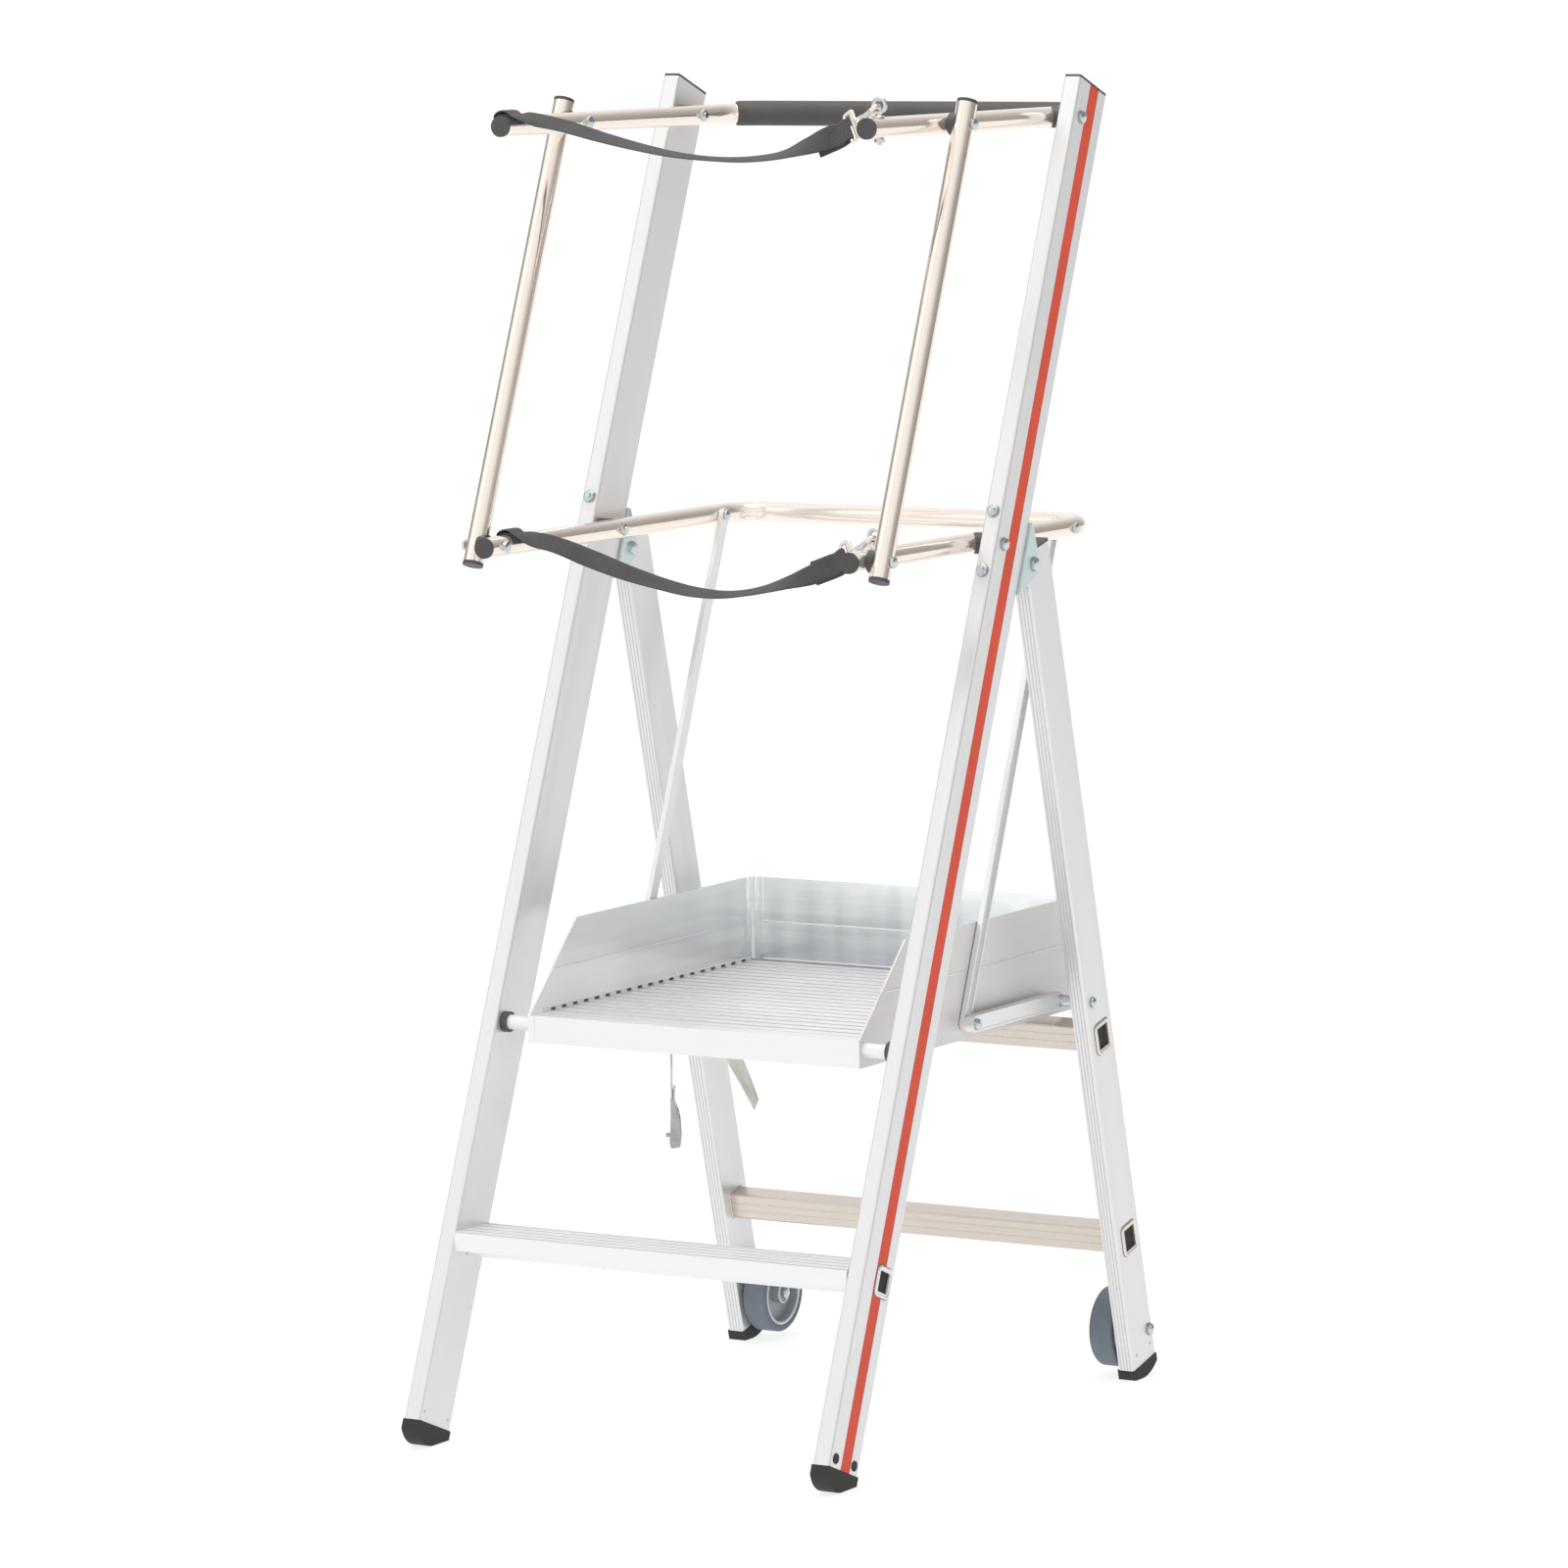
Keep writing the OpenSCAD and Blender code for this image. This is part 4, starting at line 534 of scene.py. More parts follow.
def object_place(tree, turn=(0, 0, 0), scale=(1, 1, 1)):
    """Object coordinates, turned first and then scaled."""
    place = add(tree, "ShaderNodeTexCoord").outputs["Object"]
    turned_place = add(tree, "ShaderNodeMapping", {"Vector": place, "Rotation": turn}).outputs["Vector"]
    return add(tree, "ShaderNodeMapping", {"Vector": turned_place, "Scale": scale}).outputs["Vector"]


def noise(tree, vector, scale=1.0, detail=2.0, rough=0.5):
    """Soft noise."""
    return add(tree, "ShaderNodeTexNoise", {"Vector": vector, "Scale": scale, "Detail": detail,
                                            "Roughness": rough}).outputs["Fac"]


def bump(tree, height, depth, strength=1.0, under=None):
    """A normal from a height in metres."""
    sockets = {"Height": height, "Distance": depth, "Strength": strength}
    if under is not None:
        sockets["Normal"] = under
    return add(tree, "ShaderNodeBump", sockets).outputs["Normal"]


def tint(colour, by):
    """A colour made lighter or darker."""
    return tuple(min(1.0, c * by) for c in colour)


def metal(name, colour, scale, rough, turn=(0, 0, 0), grain=0.000004, mottle=0.014, bare=0.7, smear=(5, 5, 5),
          painted_gradient=None):
    """Bare metal: soft clouds in its gloss and colour, with faint drawn lines along one direction.

    Where it has a painted gradient, its colour also drifts along that direction, from the middle of the part:
    painted light and shade that stands in for a sweep of reflection."""
    tree, shader = begin(name)
    lines = noise(tree, object_place(tree, turn, scale))
    clouds = noise(tree, object_place(tree, turn, smear))
    shade = maths(tree, "MULTIPLY_ADD", lines, 0.5, clouds)
    # Painted light: the colour grows lighter or darker along the given direction
    if painted_gradient:
        painted_drift = maths(tree, "ADD", vectors(tree, "DOT_PRODUCT", object_place(tree), painted_gradient[:3]), painted_gradient[3])
        shade = maths(tree, "ADD", shade, painted_drift)
    fill(tree, shader, {
        "Metallic": bare,
        "Base Color": ramp(tree, shade, (0.45, tint(colour, 1 - mottle)), (1.0, tint(colour, 1 + mottle))),
        "Roughness": ranged(tree, clouds, rough * 0.85, rough * 1.2),
        "Normal": bump(tree, lines, grain)})


def moulded(name, colour, rough, grain, size, shine=0.5):
    """Moulded plastic or rubber: fine grain, worn sheen and a faint drift in its colour."""
    tree, shader = begin(name)
    fine = noise(tree, object_place(tree), size, 2.0, 0.6)
    clouds = noise(tree, object_place(tree), 14.0, 4.0, 0.6)
    fill(tree, shader, {
        "Specular IOR Level": shine,
        "Base Color": ramp(tree, clouds, (0.3, tint(colour, 0.82)), (0.7, tint(colour, 1.25))),
        "Roughness": ranged(tree, clouds, rough * 0.85, min(1.0, rough * 1.15)),
        "Normal": bump(tree, fine, grain)})


def woven(name, colour, pitch):
    """Webbing: twill lines that cross the ribs, from the distance across and along the webbing."""
    tree, shader = begin(name)
    place = add(tree, "ShaderNodeAttribute", attribute_name="weave", attribute_type="GEOMETRY")
    split = add(tree, "ShaderNodeSeparateXYZ", {"Vector": place.outputs["Vector"]})
    across = maths(tree, "MULTIPLY", split.outputs["X"], 2 * np.pi / pitch)
    along = maths(tree, "MULTIPLY", split.outputs["Y"], 2 * np.pi / (0.62 * pitch))
    twill = maths(tree, "SINE", maths(tree, "ADD", along, across))
    weave = maths(tree, "MULTIPLY_ADD", twill, 0.6, maths(tree, "COSINE", across))
    fuzz = noise(tree, object_place(tree), 1500.0, 2.0, 0.7)
    worn = noise(tree, object_place(tree), 22.0, 4.0, 0.6)
    shade = maths(tree, "MULTIPLY_ADD", weave, 0.14, worn)
    fill(tree, shader, {
        "Base Color": ramp(tree, shade, (0.2, tint(colour, 0.62)), (0.5, colour), (0.85, tint(colour, 1.5))),
        "Roughness": 0.82, "Sheen Weight": 0.25, "Sheen Roughness": 0.45,
        "Normal": bump(tree, fuzz, 0.0001, 0.5, bump(tree, weave, 0.00018))})


def foil(name, colour):
    """Coloured foil: even, half glossy, with faint lengthwise rolling lines."""
    tree, shader = begin(name)
    lines = noise(tree, object_place(tree, (FRONT_LEAN, 0, 0), (900, 900, 9)), 1.0, 3.0, 0.6)
    clouds = noise(tree, object_place(tree), 7.0, 3.0, 0.6)
    fill(tree, shader, {
        "Specular IOR Level": 0.25,
        "Base Color": ramp(tree, clouds, (0.3, tint(colour, 0.93)), (0.7, tint(colour, 1.06))),
        "Roughness": ranged(tree, lines, 0.34, 0.5, 0.0, 1.0),
        "Normal": bump(tree, lines, 0.00003)})


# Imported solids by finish; all others are zinc
FINISHES = {
    "aluminium_front": ("left_front_stile", "right_front_stile"),
    "aluminium_rear": ("left_rear_stile", "right_rear_stile"),
    "aluminium_across": ("tread", "deck", "front_channel", "axle_tube"),
    "board_sides_painted_gradient": ("left_toe_board",),
    "board_outer_painted_shade": ("right_toe_board",),
    "board_across_painted_reflection": ("rear_toe_board", "platform_fittings"),
    "bar_aluminium": ("upper_rear_bar", "lower_rear_bar"),
    "tube_steel": ("mid_rail", "top_rail", "left_post", "right_post"),
    "strut_metal": ("left_strut", "right_strut", "left_link", "right_link"),
    "zinc_plate": ("left_hinge_bracket", "right_hinge_bracket"),
    "stripe_foil": ("stile_stripes",),
    "black_plastic": ("front_top_caps", "axle_bushes", "rear_top_caps", "mid_rail_caps", "top_rail_caps",
                      "left_post_caps", "right_post_caps"),
    "plug_plastic": ("tread_end_plugs", "rear_bar_plugs"),
    "black_rubber": ("rail_sleeve",),
    "foot_rubber": ("left_front_foot", "right_front_foot", "left_rear_foot", "right_rear_foot"),
    "tyre_rubber": ("left_wheel_tyre", "right_wheel_tyre"),
    "hub_plastic": ("left_wheel_hub", "right_wheel_hub"),
    "black_webbing": ("mid_strap", "top_strap"),
    "grey_webbing": ("carrying_strap",),
}


class PODIUM_OT_finishes(bpy.types.Operator):
    """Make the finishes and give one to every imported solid"""

    bl_idname = "podium.finishes"
    bl_label = "Finishes"

    def execute(self, context):
        look = context.scene.podium_finish
        alu, zinc, steel, board = (tuple(c) for c in (look.aluminium, look.zinc, look.steel, look.board))
        plastic, rubber, hub, black = (tuple(c) for c in (look.plastic, look.rubber, look.hub, look.black_webbing))
        # Drawn lines per metre, and the clouds of drawn stiles
        down, over, back, even, fine = (90, 90, 1), (1, 90, 90), (90, 1, 90), (90, 90, 90), (200, 200, 200)
        drawn, polished = (30, 30, 1.2), 0.000001
        metal("aluminium_front", tint(alu, 0.95), down, 0.34, (FRONT_LEAN, 0, 0), bare=0.6, smear=drawn)
        metal("aluminium_rear", tint(alu, 0.97), down, 0.34, (-REAR_LEAN, 0, 0), bare=0.55, smear=drawn)
        metal("aluminium_across", tint(alu, 1.05), over, 0.4, bare=0.5)
        # A darker copy of the aluminium for groove floors and the lines at the feet of the ribs and ridges:
        # painted shade
        metal("groove_painted_shade", tint(alu, 0.70), over, 0.45, bare=0.3)
        # Side boards: tinted lighter, with a painted gradient lighter at the front and darker to the rear,
        # deepened by strong mottle: painted reflection
        metal("board_sides_painted_gradient", tint(board, 1.15), back, 0.2, grain=polished, mottle=0.24, bare=0.8,
              smear=(3, 4, 3), painted_gradient=(0, -1.0, 0, 0.03))
        # Rear board: a painted gradient darker low and lighter high, and broad streaks from the strong mottle:
        # painted reflection
        metal("board_across_painted_reflection", (0.75, 0.78, 0.82), over, 0.2, grain=polished, mottle=0.28, bare=0.8,
              smear=(22, 3, 1.5), painted_gradient=(0, 0, 4.0, -2.2))
        # A darker copy of the board finish for the right board's outer face: painted shade
        metal("board_outer_painted_shade", (0.75, 0.735, 0.72), back, 0.4, grain=polished, mottle=0.05, bare=0.5,
              smear=(3, 4, 3))
        metal("corner_metal", tint(alu, 1.08), down, 0.3, bare=0.5)
        metal("bar_aluminium", tint(steel, 0.74), over, 0.26, bare=0.75)
        metal("rim_metal", tint(alu, 0.92), even, 0.16, bare=0.9)
        # Near-black aluminium for the rings round the feet of the flares: a painted shadow line
        metal("seat_painted_shadow", tint(alu, 0.22), even, 0.4, bare=0.5)
        metal("tube_steel", steel, (40, 40, 40), 0.1, grain=0.000002, mottle=0.012, bare=0.8)
        metal("strut_metal", alu, down, 0.3, (FRONT_LEAN, 0, 0))
        metal("zinc", zinc, fine, 0.2, grain=0.00001, mottle=0.06, bare=1.0, smear=(60, 60, 60))
        metal("hook_metal", tint(steel, 0.95), even, 0.18, mottle=0.03, bare=0.95, smear=(40, 40, 40))
        metal("buckle_metal", (0.42, 0.42, 0.41), even, 0.24, grain=0.000006, mottle=0.06, bare=1.0,
              smear=(40, 40, 40))
        # Darker zinc for the washers: painted shade for the contact shadow round the bolt heads
        metal("zinc_washer_painted_shade", tint(zinc, 0.66), fine, 0.3, grain=0.00001, mottle=0.06, bare=0.9,
              smear=(60, 60, 60))
        metal("zinc_plate", (0.66, 0.76, 0.765), (60, 60, 60), 0.36, grain=0.000006, mottle=0.04, bare=0.75,
              smear=(25, 25, 25))
        foil("stripe_foil", tuple(look.stripe))
        moulded("black_plastic", plastic, 0.48, 0.00005, 1800.0)
        moulded("plug_plastic", tint(plastic, 0.35), 0.5, 0.00005, 1800.0, 0.2)
        moulded("black_rubber", rubber, 0.62, 0.00009, 1100.0)
        moulded("foot_rubber", tint(rubber, 0.5), 0.6, 0.00009, 1100.0, 0.3)
        moulded("tyre_rubber", tuple(look.tyre), 0.6, 0.00006, 900.0)
        moulded("hub_plastic", hub, 0.42, 0.00004, 1400.0)
        moulded("rim_plastic", tint(hub, 2.0), 0.4, 0.00003, 1400.0)
        moulded("thread", tint(black, 1.3), 0.7, 0.00003, 3000.0)
        woven("black_webbing", black, 0.0019)
        woven("grey_webbing", tuple(look.grey_webbing), 0.0024)
        finish_of = {node: finish for finish, nodes in FINISHES.items() for node in nodes}
        for node, obj in CAD.items():
            obj.data.materials.clear()
            obj.data.materials.append(finish_called(finish_of.get(node, "zinc")))
        return {"FINISHED"}


# Stage --------------------------------------------------------------------------------------------


def stood(name, data, place, *axes):
    """An object at a place in the scene, with its X, Y and Z along the axes."""
    obj = bpy.data.objects.new(name, data)
    pose = np.eye(4)
    pose[:3, :3], pose[:3, 3] = np.stack(axes, 1), place
    obj.matrix_world = Matrix(pose.tolist())
    bpy.context.scene.collection.objects.link(obj)
    return obj


class PODIUM_OT_stage(bpy.types.Operator):
    """Set the camera, the floor and the light"""

    bl_idname = "podium.stage"
    bl_label = "Stage"

    def execute(self, context):
        scene, look = context.scene, context.scene.podium_stage
        camera = bpy.data.cameras.new("camera")
        camera.sensor_width, camera.lens, camera.clip_end = SENSOR, look.lens, FAR_SIGHT
        az, el, roll = look.azimuth, look.elevation, look.roll
        back = np.array([np.sin(az) * np.cos(el), -np.cos(az) * np.cos(el), np.sin(el)])
        right = np.array([np.cos(az), np.sin(az), 0.0])
        up = np.cross(back, right)
        right, up = (np.cos(roll) * right + np.sin(roll) * up, np.cos(roll) * up - np.sin(roll) * right)
        scene.camera = stood("camera", camera, look.place, right, up, back)
        scene.view_settings.view_transform = "Standard"

        tree, shader = begin("floor_paint")
        pale = tuple(look.floor)
        grain = noise(tree, object_place(tree), 3.0, 4.0)
        fill(tree, shader, {
            "Roughness": 0.9, "Emission Color": (1.0, 1.0, 1.0, 1.0), "Emission Strength": look.floor_glow,
            "Base Color": ramp(tree, grain, (0.3, tint(pale, 0.99)), (0.7, pale))})
        floor = bpy.data.meshes.new("floor")
        a = around(64)
        floor.from_pydata(xyz(FLOOR_R * np.cos(a), FLOOR_R * np.sin(a), -FLOOR_DROP), [], [list(range(len(a)))])
        floor.materials.append(finish_called("floor_paint"))
        stood("floor", floor, (0.0, 0.0, 0.0), ACROSS, REARWARD, UP)

        # Pale studio that darkens towards one side and has one dark strip; the camera sees it as plain white
        world = bpy.data.worlds.new("studio")
        scene.world = world
        world.use_nodes = True
        tree = world.node_tree
        sky = add(tree, "ShaderNodeTexCoord").outputs["Generated"]
        toward = vectors(tree, "DOT_PRODUCT", sky, DARK_SIDE)
        colours = ramp(tree, ranged(tree, toward, 0.0, 1.0, -1.0, 1.0), *STUDIO)
        strip = ramp(tree, vectors(tree, "DOT_PRODUCT", sky, DARK_STRIP), *STRIP_STOPS)
        colours = vectors(tree, "MULTIPLY", colours, strip)
        seen = add(tree, "ShaderNodeLightPath").outputs["Is Camera Ray"]
        fill(tree, tree.nodes["Background"], {"Color": vectors(tree, "MAXIMUM", colours, seen), "Strength": 1.0})

        for name, place, size, power in LAMPS:
            lamp = bpy.data.lights.new(name, "AREA")
            lamp.shape, lamp.size, lamp.energy = "DISK", size, power
            aim = unit(np.array(place) - LAMP_AIM)
            side = unit(np.cross([0.0, 1.0, 0.001], aim))
            stood(name, lamp, place, side, np.cross(aim, side), aim)
        return {"FINISHED"}


# Webbing, in metres -------------------------------------------------------------------------------


def section_of(width, thickness, rib, count=19):
    """Outline of flat webbing: two ribbed faces and two rounded edges, as (across, out)."""
    t = np.linspace(-1, 1, count)
    edge = np.sqrt(np.clip(1 - np.abs(t) ** 14, 0, 1))
    top = thickness / 2 * edge + rib * np.cos(np.pi * (count - 1) / 2 * t) * edge
    across = np.concatenate([t * width / 2, t[::-1][1:-1] * width / 2])
    return np.stack([across, np.concatenate([top, -top[::-1][1:-1]])], 1)


def webbing(route, sides, width, look, count, slant=0.0):
    """Webbing carried along a smooth curve through the route: its shell, weave, middle line and directions.

    A slanted tip moves each point of the last stretch along the webbing in proportion to its place across it."""
    knots = knots_of(route)
    path = through(route, knots, count)
    along, across, out = directions(path, through(sides, knots, count))
    section = section_of(width, look.thickness, look.rib)
    grid = path[:, None] + section[None, :, :1] * across[:, None] + section[None, :, 1:] * out[:, None]
    run = knots_of(path)
    near_tip = np.clip((run - run[-1] + 4 * abs(slant)) / max(4 * abs(slant), 1e-9), 0, 1) ** 2
    grid += (slant * near_tip[:, None] * section[None, :, 0] / width)[..., None] * along[:, None]
    weave = xyz(section[None, :, 0], run[:, None], 0.0)
    return net(grid), weave.reshape(-1, 3), path, run, across, out


def stitches(path, run, across, out, start, end, rows, look):
    """Rows of stitches on both faces: each is a short spindle, thick in its middle, along the webbing."""
    t = np.linspace(-1, 1, 5)[:, None, None]
    thick = 0.0003 * np.sqrt(1.04 - t ** 2)
    spread = oval(6)
    parts = []
    for place in np.arange(start, end, 1.35 * look.stitch):
        k = np.searchsorted(run, place).clip(1, len(run) - 2)
        along = unit(path[k + 1] - path[k - 1])
        girth = spread[:, :1] * across[k] + spread[:, 1:] * out[k]
        for offset in rows:
            for face in (-1.0, 1.0):
                middle = path[k] + offset * across[k] + face * look.thickness / 2 * out[k]
                parts.append(net(middle + t * look.stitch / 2 * along + thick * girth))
    return parts


class PODIUM_OT_hooks(bpy.types.Operator):
    """Make the snap hooks: flat bar bent round the eye, swivel and slotted frame"""

    bl_idname = "podium.hooks"
    bl_label = "Snap hooks"

    def execute(self, context):
        soft = oval(20, 0.7)
        a = around(len(soft))
        bend = np.radians(np.linspace(90, 270, 13))
        arc = np.stack([HOOK_BEND_U + HOOK_BEND_R * np.cos(bend), HOOK_BEND_R * np.sin(bend)], 1)
        line = np.concatenate([HOOK_STEM, arc, HOOK_TIP])
        half = np.interp(np.arange(len(line)), *HOOK_HALF)[:, None]
        along = unit(np.gradient(line, axis=0))
        out = np.stack([-along[:, 1], along[:, 0]], 1)
        at = line[:, None] + HOOK_T * soft[None, :, 1:] * out[:, None]
        swell = np.radians(np.linspace(-86, 86, 11))[:, None]
        knob_r, knob_u = KNOB_R * np.cos(swell) ** 0.35, KNOB_U + KNOB_L * np.sin(swell)
        slider, faces = frame_bead(SLIDER_W, SLIDER_H, SLIDER_CORNER, SLIDER_R * oval(20))
        wide = np.linspace(-BRIDGE_HALF, BRIDGE_HALF, 3)[:, None]
        for rail, (_, z, eye) in RAILS.items():
            body = on_hook(eye, z, at[..., 0], at[..., 1], half * soft[None, :, 0])
            knob = on_hook(eye, z, knob_u, KNOB_WIDE * knob_r * np.sin(a), knob_r * np.cos(a))
            plate = on_hook(eye, z, SLIDER_U + slider[:, 1], slider[:, 2], slider[:, 0], SLIDER_ROLL)
            web = on_hook(eye, z, BRIDGE_U + BRIDGE_W * soft[:, 0], BRIDGE_T * soft[:, 1], wide, SLIDER_ROLL)
            make(f"{rail}_snap_hook", [net(body), net(knob), (plate, faces), net(web)], f"{rail}_rail",
                 "hook_metal", (f"{rail}_strap_hook",))
        return {"FINISHED"}


class PODIUM_OT_closure_straps(bpy.types.Operator):
    """Lay the webbing of the two strap closures"""

    bl_idname = "podium.closure_straps"
    bl_label = "Strap closures"

    def execute(self, context):
        look = context.scene.podium_webbing
        r = TUBE / 2 + FOLD_RISE
        square = on_hook(0.0, 0.0, 0.0, 0.0, 1.0, SLIDER_ROLL) - on_hook(0.0, 0.0, 0.0, 0.0, 0.0)
        rows = np.array([-1.0, 0.0, 1.0]) * SEWN_EDGE * look.closure
        for rail, (_, z, eye) in RAILS.items():
            run = CLOSURE_RUNS[rail]
            loop = xyz(r * np.cos(FOLD_TURN) - RAIL_X, run[0, 1], z + r * np.sin(FOLD_TURN))
            slot = on_hook(eye, z, SLOT_U, SLOT_Y, 0.0, SLIDER_ROLL)
            route = np.concatenate([loop, run, slot, slot[-1] + TAIL_RUN]) * MM
            turn = np.concatenate([np.tile(REARWARD, (len(loop), 1)), CLOSURE_SIDES[rail],
                                   np.tile(square, (len(slot), 1)), np.tile(TAIL_SIDE, (len(TAIL_RUN), 1))])
            shell, weave, path, along, across, out = webbing(route, turn, look.closure, look, 640)
            strap = make(f"{rail}_closure_webbing", [shell], f"{rail}_rail", "black_webbing",
                         (f"{rail}_strap",), 60.0, weave, 1.0)
            knots, sewn = knots_of(route), []
            for place, (start, end) in ((knots[len(loop)], LOOP_SEWN), (knots[-len(TAIL_RUN)], TAIL_SEWN)):
                sewn += stitches(path, along, across, out, place + start, place + end, rows, look)
            make(f"{rail}_closure_stitching", sewn, f"{rail}_rail", "thread", scale=1.0)
        return {"FINISHED"}


class PODIUM_OT_buckle(bpy.types.Operator):
    """Make the cam buckle: two wedge-shaped cheeks, back plate, roller, pins and the ribbed lever"""

    bl_idname = "podium.buckle"
    bl_label = "Cam buckle"

    def execute(self, context):
        loop = through(CHEEK, knots_of(CHEEK), 61)[:-1]
        middle, half, outer = loop.mean(0), BUCKLE_W / 2, BUCKLE_W / 2 + BUCKLE_T
        # A cheek's rims across the buckle: distance from its middle and share of the full outline
        y, share = np.array([(half, 0.95), (half + BUCKLE_SOFT, 1.0), (outer - BUCKLE_SOFT, 1.0), (outer, 0.95)]).T
        rims = middle + share[:, None, None] * (loop - middle)
        parts = [net(on_buckle(rims[..., 0], side * y[:, None], rims[..., 1])) for side in (-1.0, 1.0)]
        wide = np.linspace(-half - 0.4, half + 0.4, 3)[:, None]
        parts.append(net(on_buckle(BACK_PLATE[:, 0], wide, BACK_PLATE[:, 1])))
        roller, pin, stud = (on_buckle(x, 0.0, z) for x, z in (ROLLER_AT, LEVER_PIN, STUD_AT))
        parts += [placed(shape(*sizes), base, BUCKLE_CROSS) for base, shape, *sizes in (
            (roller, rod, -half - 0.5, half + 0.5, ROLLER_D), (pin, rod, -outer, outer, PIN_D),
            (pin, dome, outer, 1.4, 7.0), (pin, dome, -outer, -1.4, 7.0),
            (roller, dome, outer, 1.2, 6.0), (roller, dome, -outer, -1.2, 6.0))]
        parts.append(placed(rod(0.0, STUD_L, STUD_D), stud, BUCKLE_OUT))
        make("strap_buckle", parts, "platform", "buckle_metal", ("cam_buckle",))

        a = around(48)
        r = LEVER_R + LEVER_RIB * np.cos(LEVER_RIBS * a)
        hub = np.stack([r * np.cos(a), r * np.sin(a)], 1)
        line = through(LEVER_LINE, knots_of(LEVER_LINE), 14)
        fold = unit(np.gradient(line, axis=0)) @ np.array([[0.0, -1.0], [1.0, 0.0]])
        tab = np.concatenate([line + LEVER_HALF * fold, (line - LEVER_HALF * fold)[::-1]])
        wide = np.linspace(LEVER_PLAY - half, half - LEVER_PLAY, 3)[:, None]
        parts = [net(on_buckle(LEVER_PIN[0] + at[:, 0], wide, LEVER_PIN[1] + at[:, 1])) for at in (hub, tab)]
        make("strap_buckle_lever", parts, "cam_lever", "buckle_metal", ("cam_lever",))
        return {"FINISHED"}


class PODIUM_OT_carrying_strap(bpy.types.Operator):
    """Hang the webbing of the carrying strap"""

    bl_idname = "podium.carrying_strap"
    bl_label = "Carrying strap"

    def execute(self, context):
        look = context.scene.podium_webbing
        shell, weave, path, along, _, _ = webbing(CARRY_ROUTE, CARRY_SIDES, look.carry, look, 200, -look.slant)
        strap = make("carrying_webbing", [shell], "platform", "grey_webbing",
                     ("carrying_strap",), 60.0, weave, 1.0)
        tail = on_buckle(BUCKLE_TAIL[:, 0], 0.0, BUCKLE_TAIL[:, 1]) * MM
        sides = np.tile(BUCKLE_CROSS, (len(tail), 1))
        shell, weave, *_ = webbing(tail, sides, look.carry - 0.001, look, 24)
        make("carrying_strap_tail", [shell], "platform", "grey_webbing", (), 60.0, weave, 1.0)
        return {"FINISHED"}


# Tubes --------------------------------------------------------------------------------------------


def bow(back, z, turn, end=None):
    """Middle line of a U-bent rail, from one side to the other: two arcs with the straight run between."""
    a = np.linspace(0, turn, 41)
    arc = xyz(RAIL_X - BEND + BEND * np.sin(a), back - BEND + BEND * np.cos(a), z)
    half = np.concatenate([[(0.0, back, z)], arc] + ([] if end is None else [[(RAIL_X, end, z)]]))
    return np.concatenate([(half * np.array([-1.0, 1.0, 1.0]))[::-1], half[1:]])


class PODIUM_OT_tubes(bpy.types.Operator):
    """Sweep the bent rails, the posts and the sleeve of the top rail"""

    bl_idname = "podium.tubes"
    bl_label = "Tubes and sleeve"

    def execute(self, context):
        circle, r = oval(48), TUBE / 2
        for rail in ("mid", "top"):
            low, high = (np.array(corner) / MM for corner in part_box(f"{rail}_rail"))
            back, z = high[1] - r, (low[2] + high[2]) / 2
            make(f"{rail}_rail_tube", [bar(bow(back, z, np.pi / 2, low[1]), circle, UP, r)], f"{rail}_rail",
                 "tube_steel", (f"{rail}_rail",))
        # The sleeve lies on the top rail and is rounded at both ends
        path = bow(back, z, SLEEVE_TURN)
        run = knots_of(path)
        near = np.clip(np.minimum(run, run[-1] - run) / SLEEVE_SOFT, 0, 1)
        thick = (SLEEVE_D / 2 - r - SLEEVE_FIT) * np.sqrt(np.clip(1 - (1 - near) ** 2, 0, 1))
        make("top_rail_sleeve", [bar(path, circle, UP, r + SLEEVE_FIT + thick)], "top_rail",
             "black_rubber", ("rail_sleeve",))

        lean = unit(np.array([0.0, TOP_RAIL[0] - MID_RAIL[0], TOP_RAIL[1] - MID_RAIL[1]]))
        for name, side in SIDES:
            low, high = (np.array(corner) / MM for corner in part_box(f"{name}_post"))
            foot = np.array([side * POST_X, MID_RAIL[0] - POST_REACH - MID_Y, MID_RAIL[1]])
            reach = [(z - foot[2]) / lean[2] for z in (low[2] + r * lean[1], high[2] - r * lean[1])]
            path = foot + np.linspace(*reach, 3)[:, None] * lean
            make(f"{name}_post_tube", [bar(path, circle, ACROSS, r)], f"{name}_post", "tube_steel",
                 (f"{name}_post",))
        return {"FINISHED"}


# Bolts --------------------------------------------------------------------------------------------


def flat(start, end, width):
    """A washer: a short rod, kept apart from its bolt for its darker finish, a painted shade for the shadow round
    the bolt's head.
    """
    return rod(start, end, width)


def bolt(base, axis, washers, *features):
    """A bolt along an axis, of rods, heads, nuts, threads and domes, each with its start, its end or height,
    and its width. Its washers are put aside."""
    parts = []
    for shape, *sizes in features:
        (washers if shape is flat else parts).append(placed(shape(*sizes), base, axis))
    return parts


def eye_bolt(y, z):
    """A shank up through the rail, its nut below and its ring above."""
    low, high = -TUBE / 2, TUBE / 2
    shank = bolt((RAIL_X, y, z), UP, [], (rod, low - HEAD, EYE_RISE - EYE_R, EYE_SHANK),
                 (thread, low, low - HEAD - 2.5, EYE_SHANK), (hex_head, low, low - HEAD, HEX - 2),
                 (rod, high - 0.6, high + 1.6, EYE_FOOT))
    return shank + [placed(ring(EYE_R, EYE_ROD), (RAIL_X, y, z + EYE_RISE), REARWARD)]


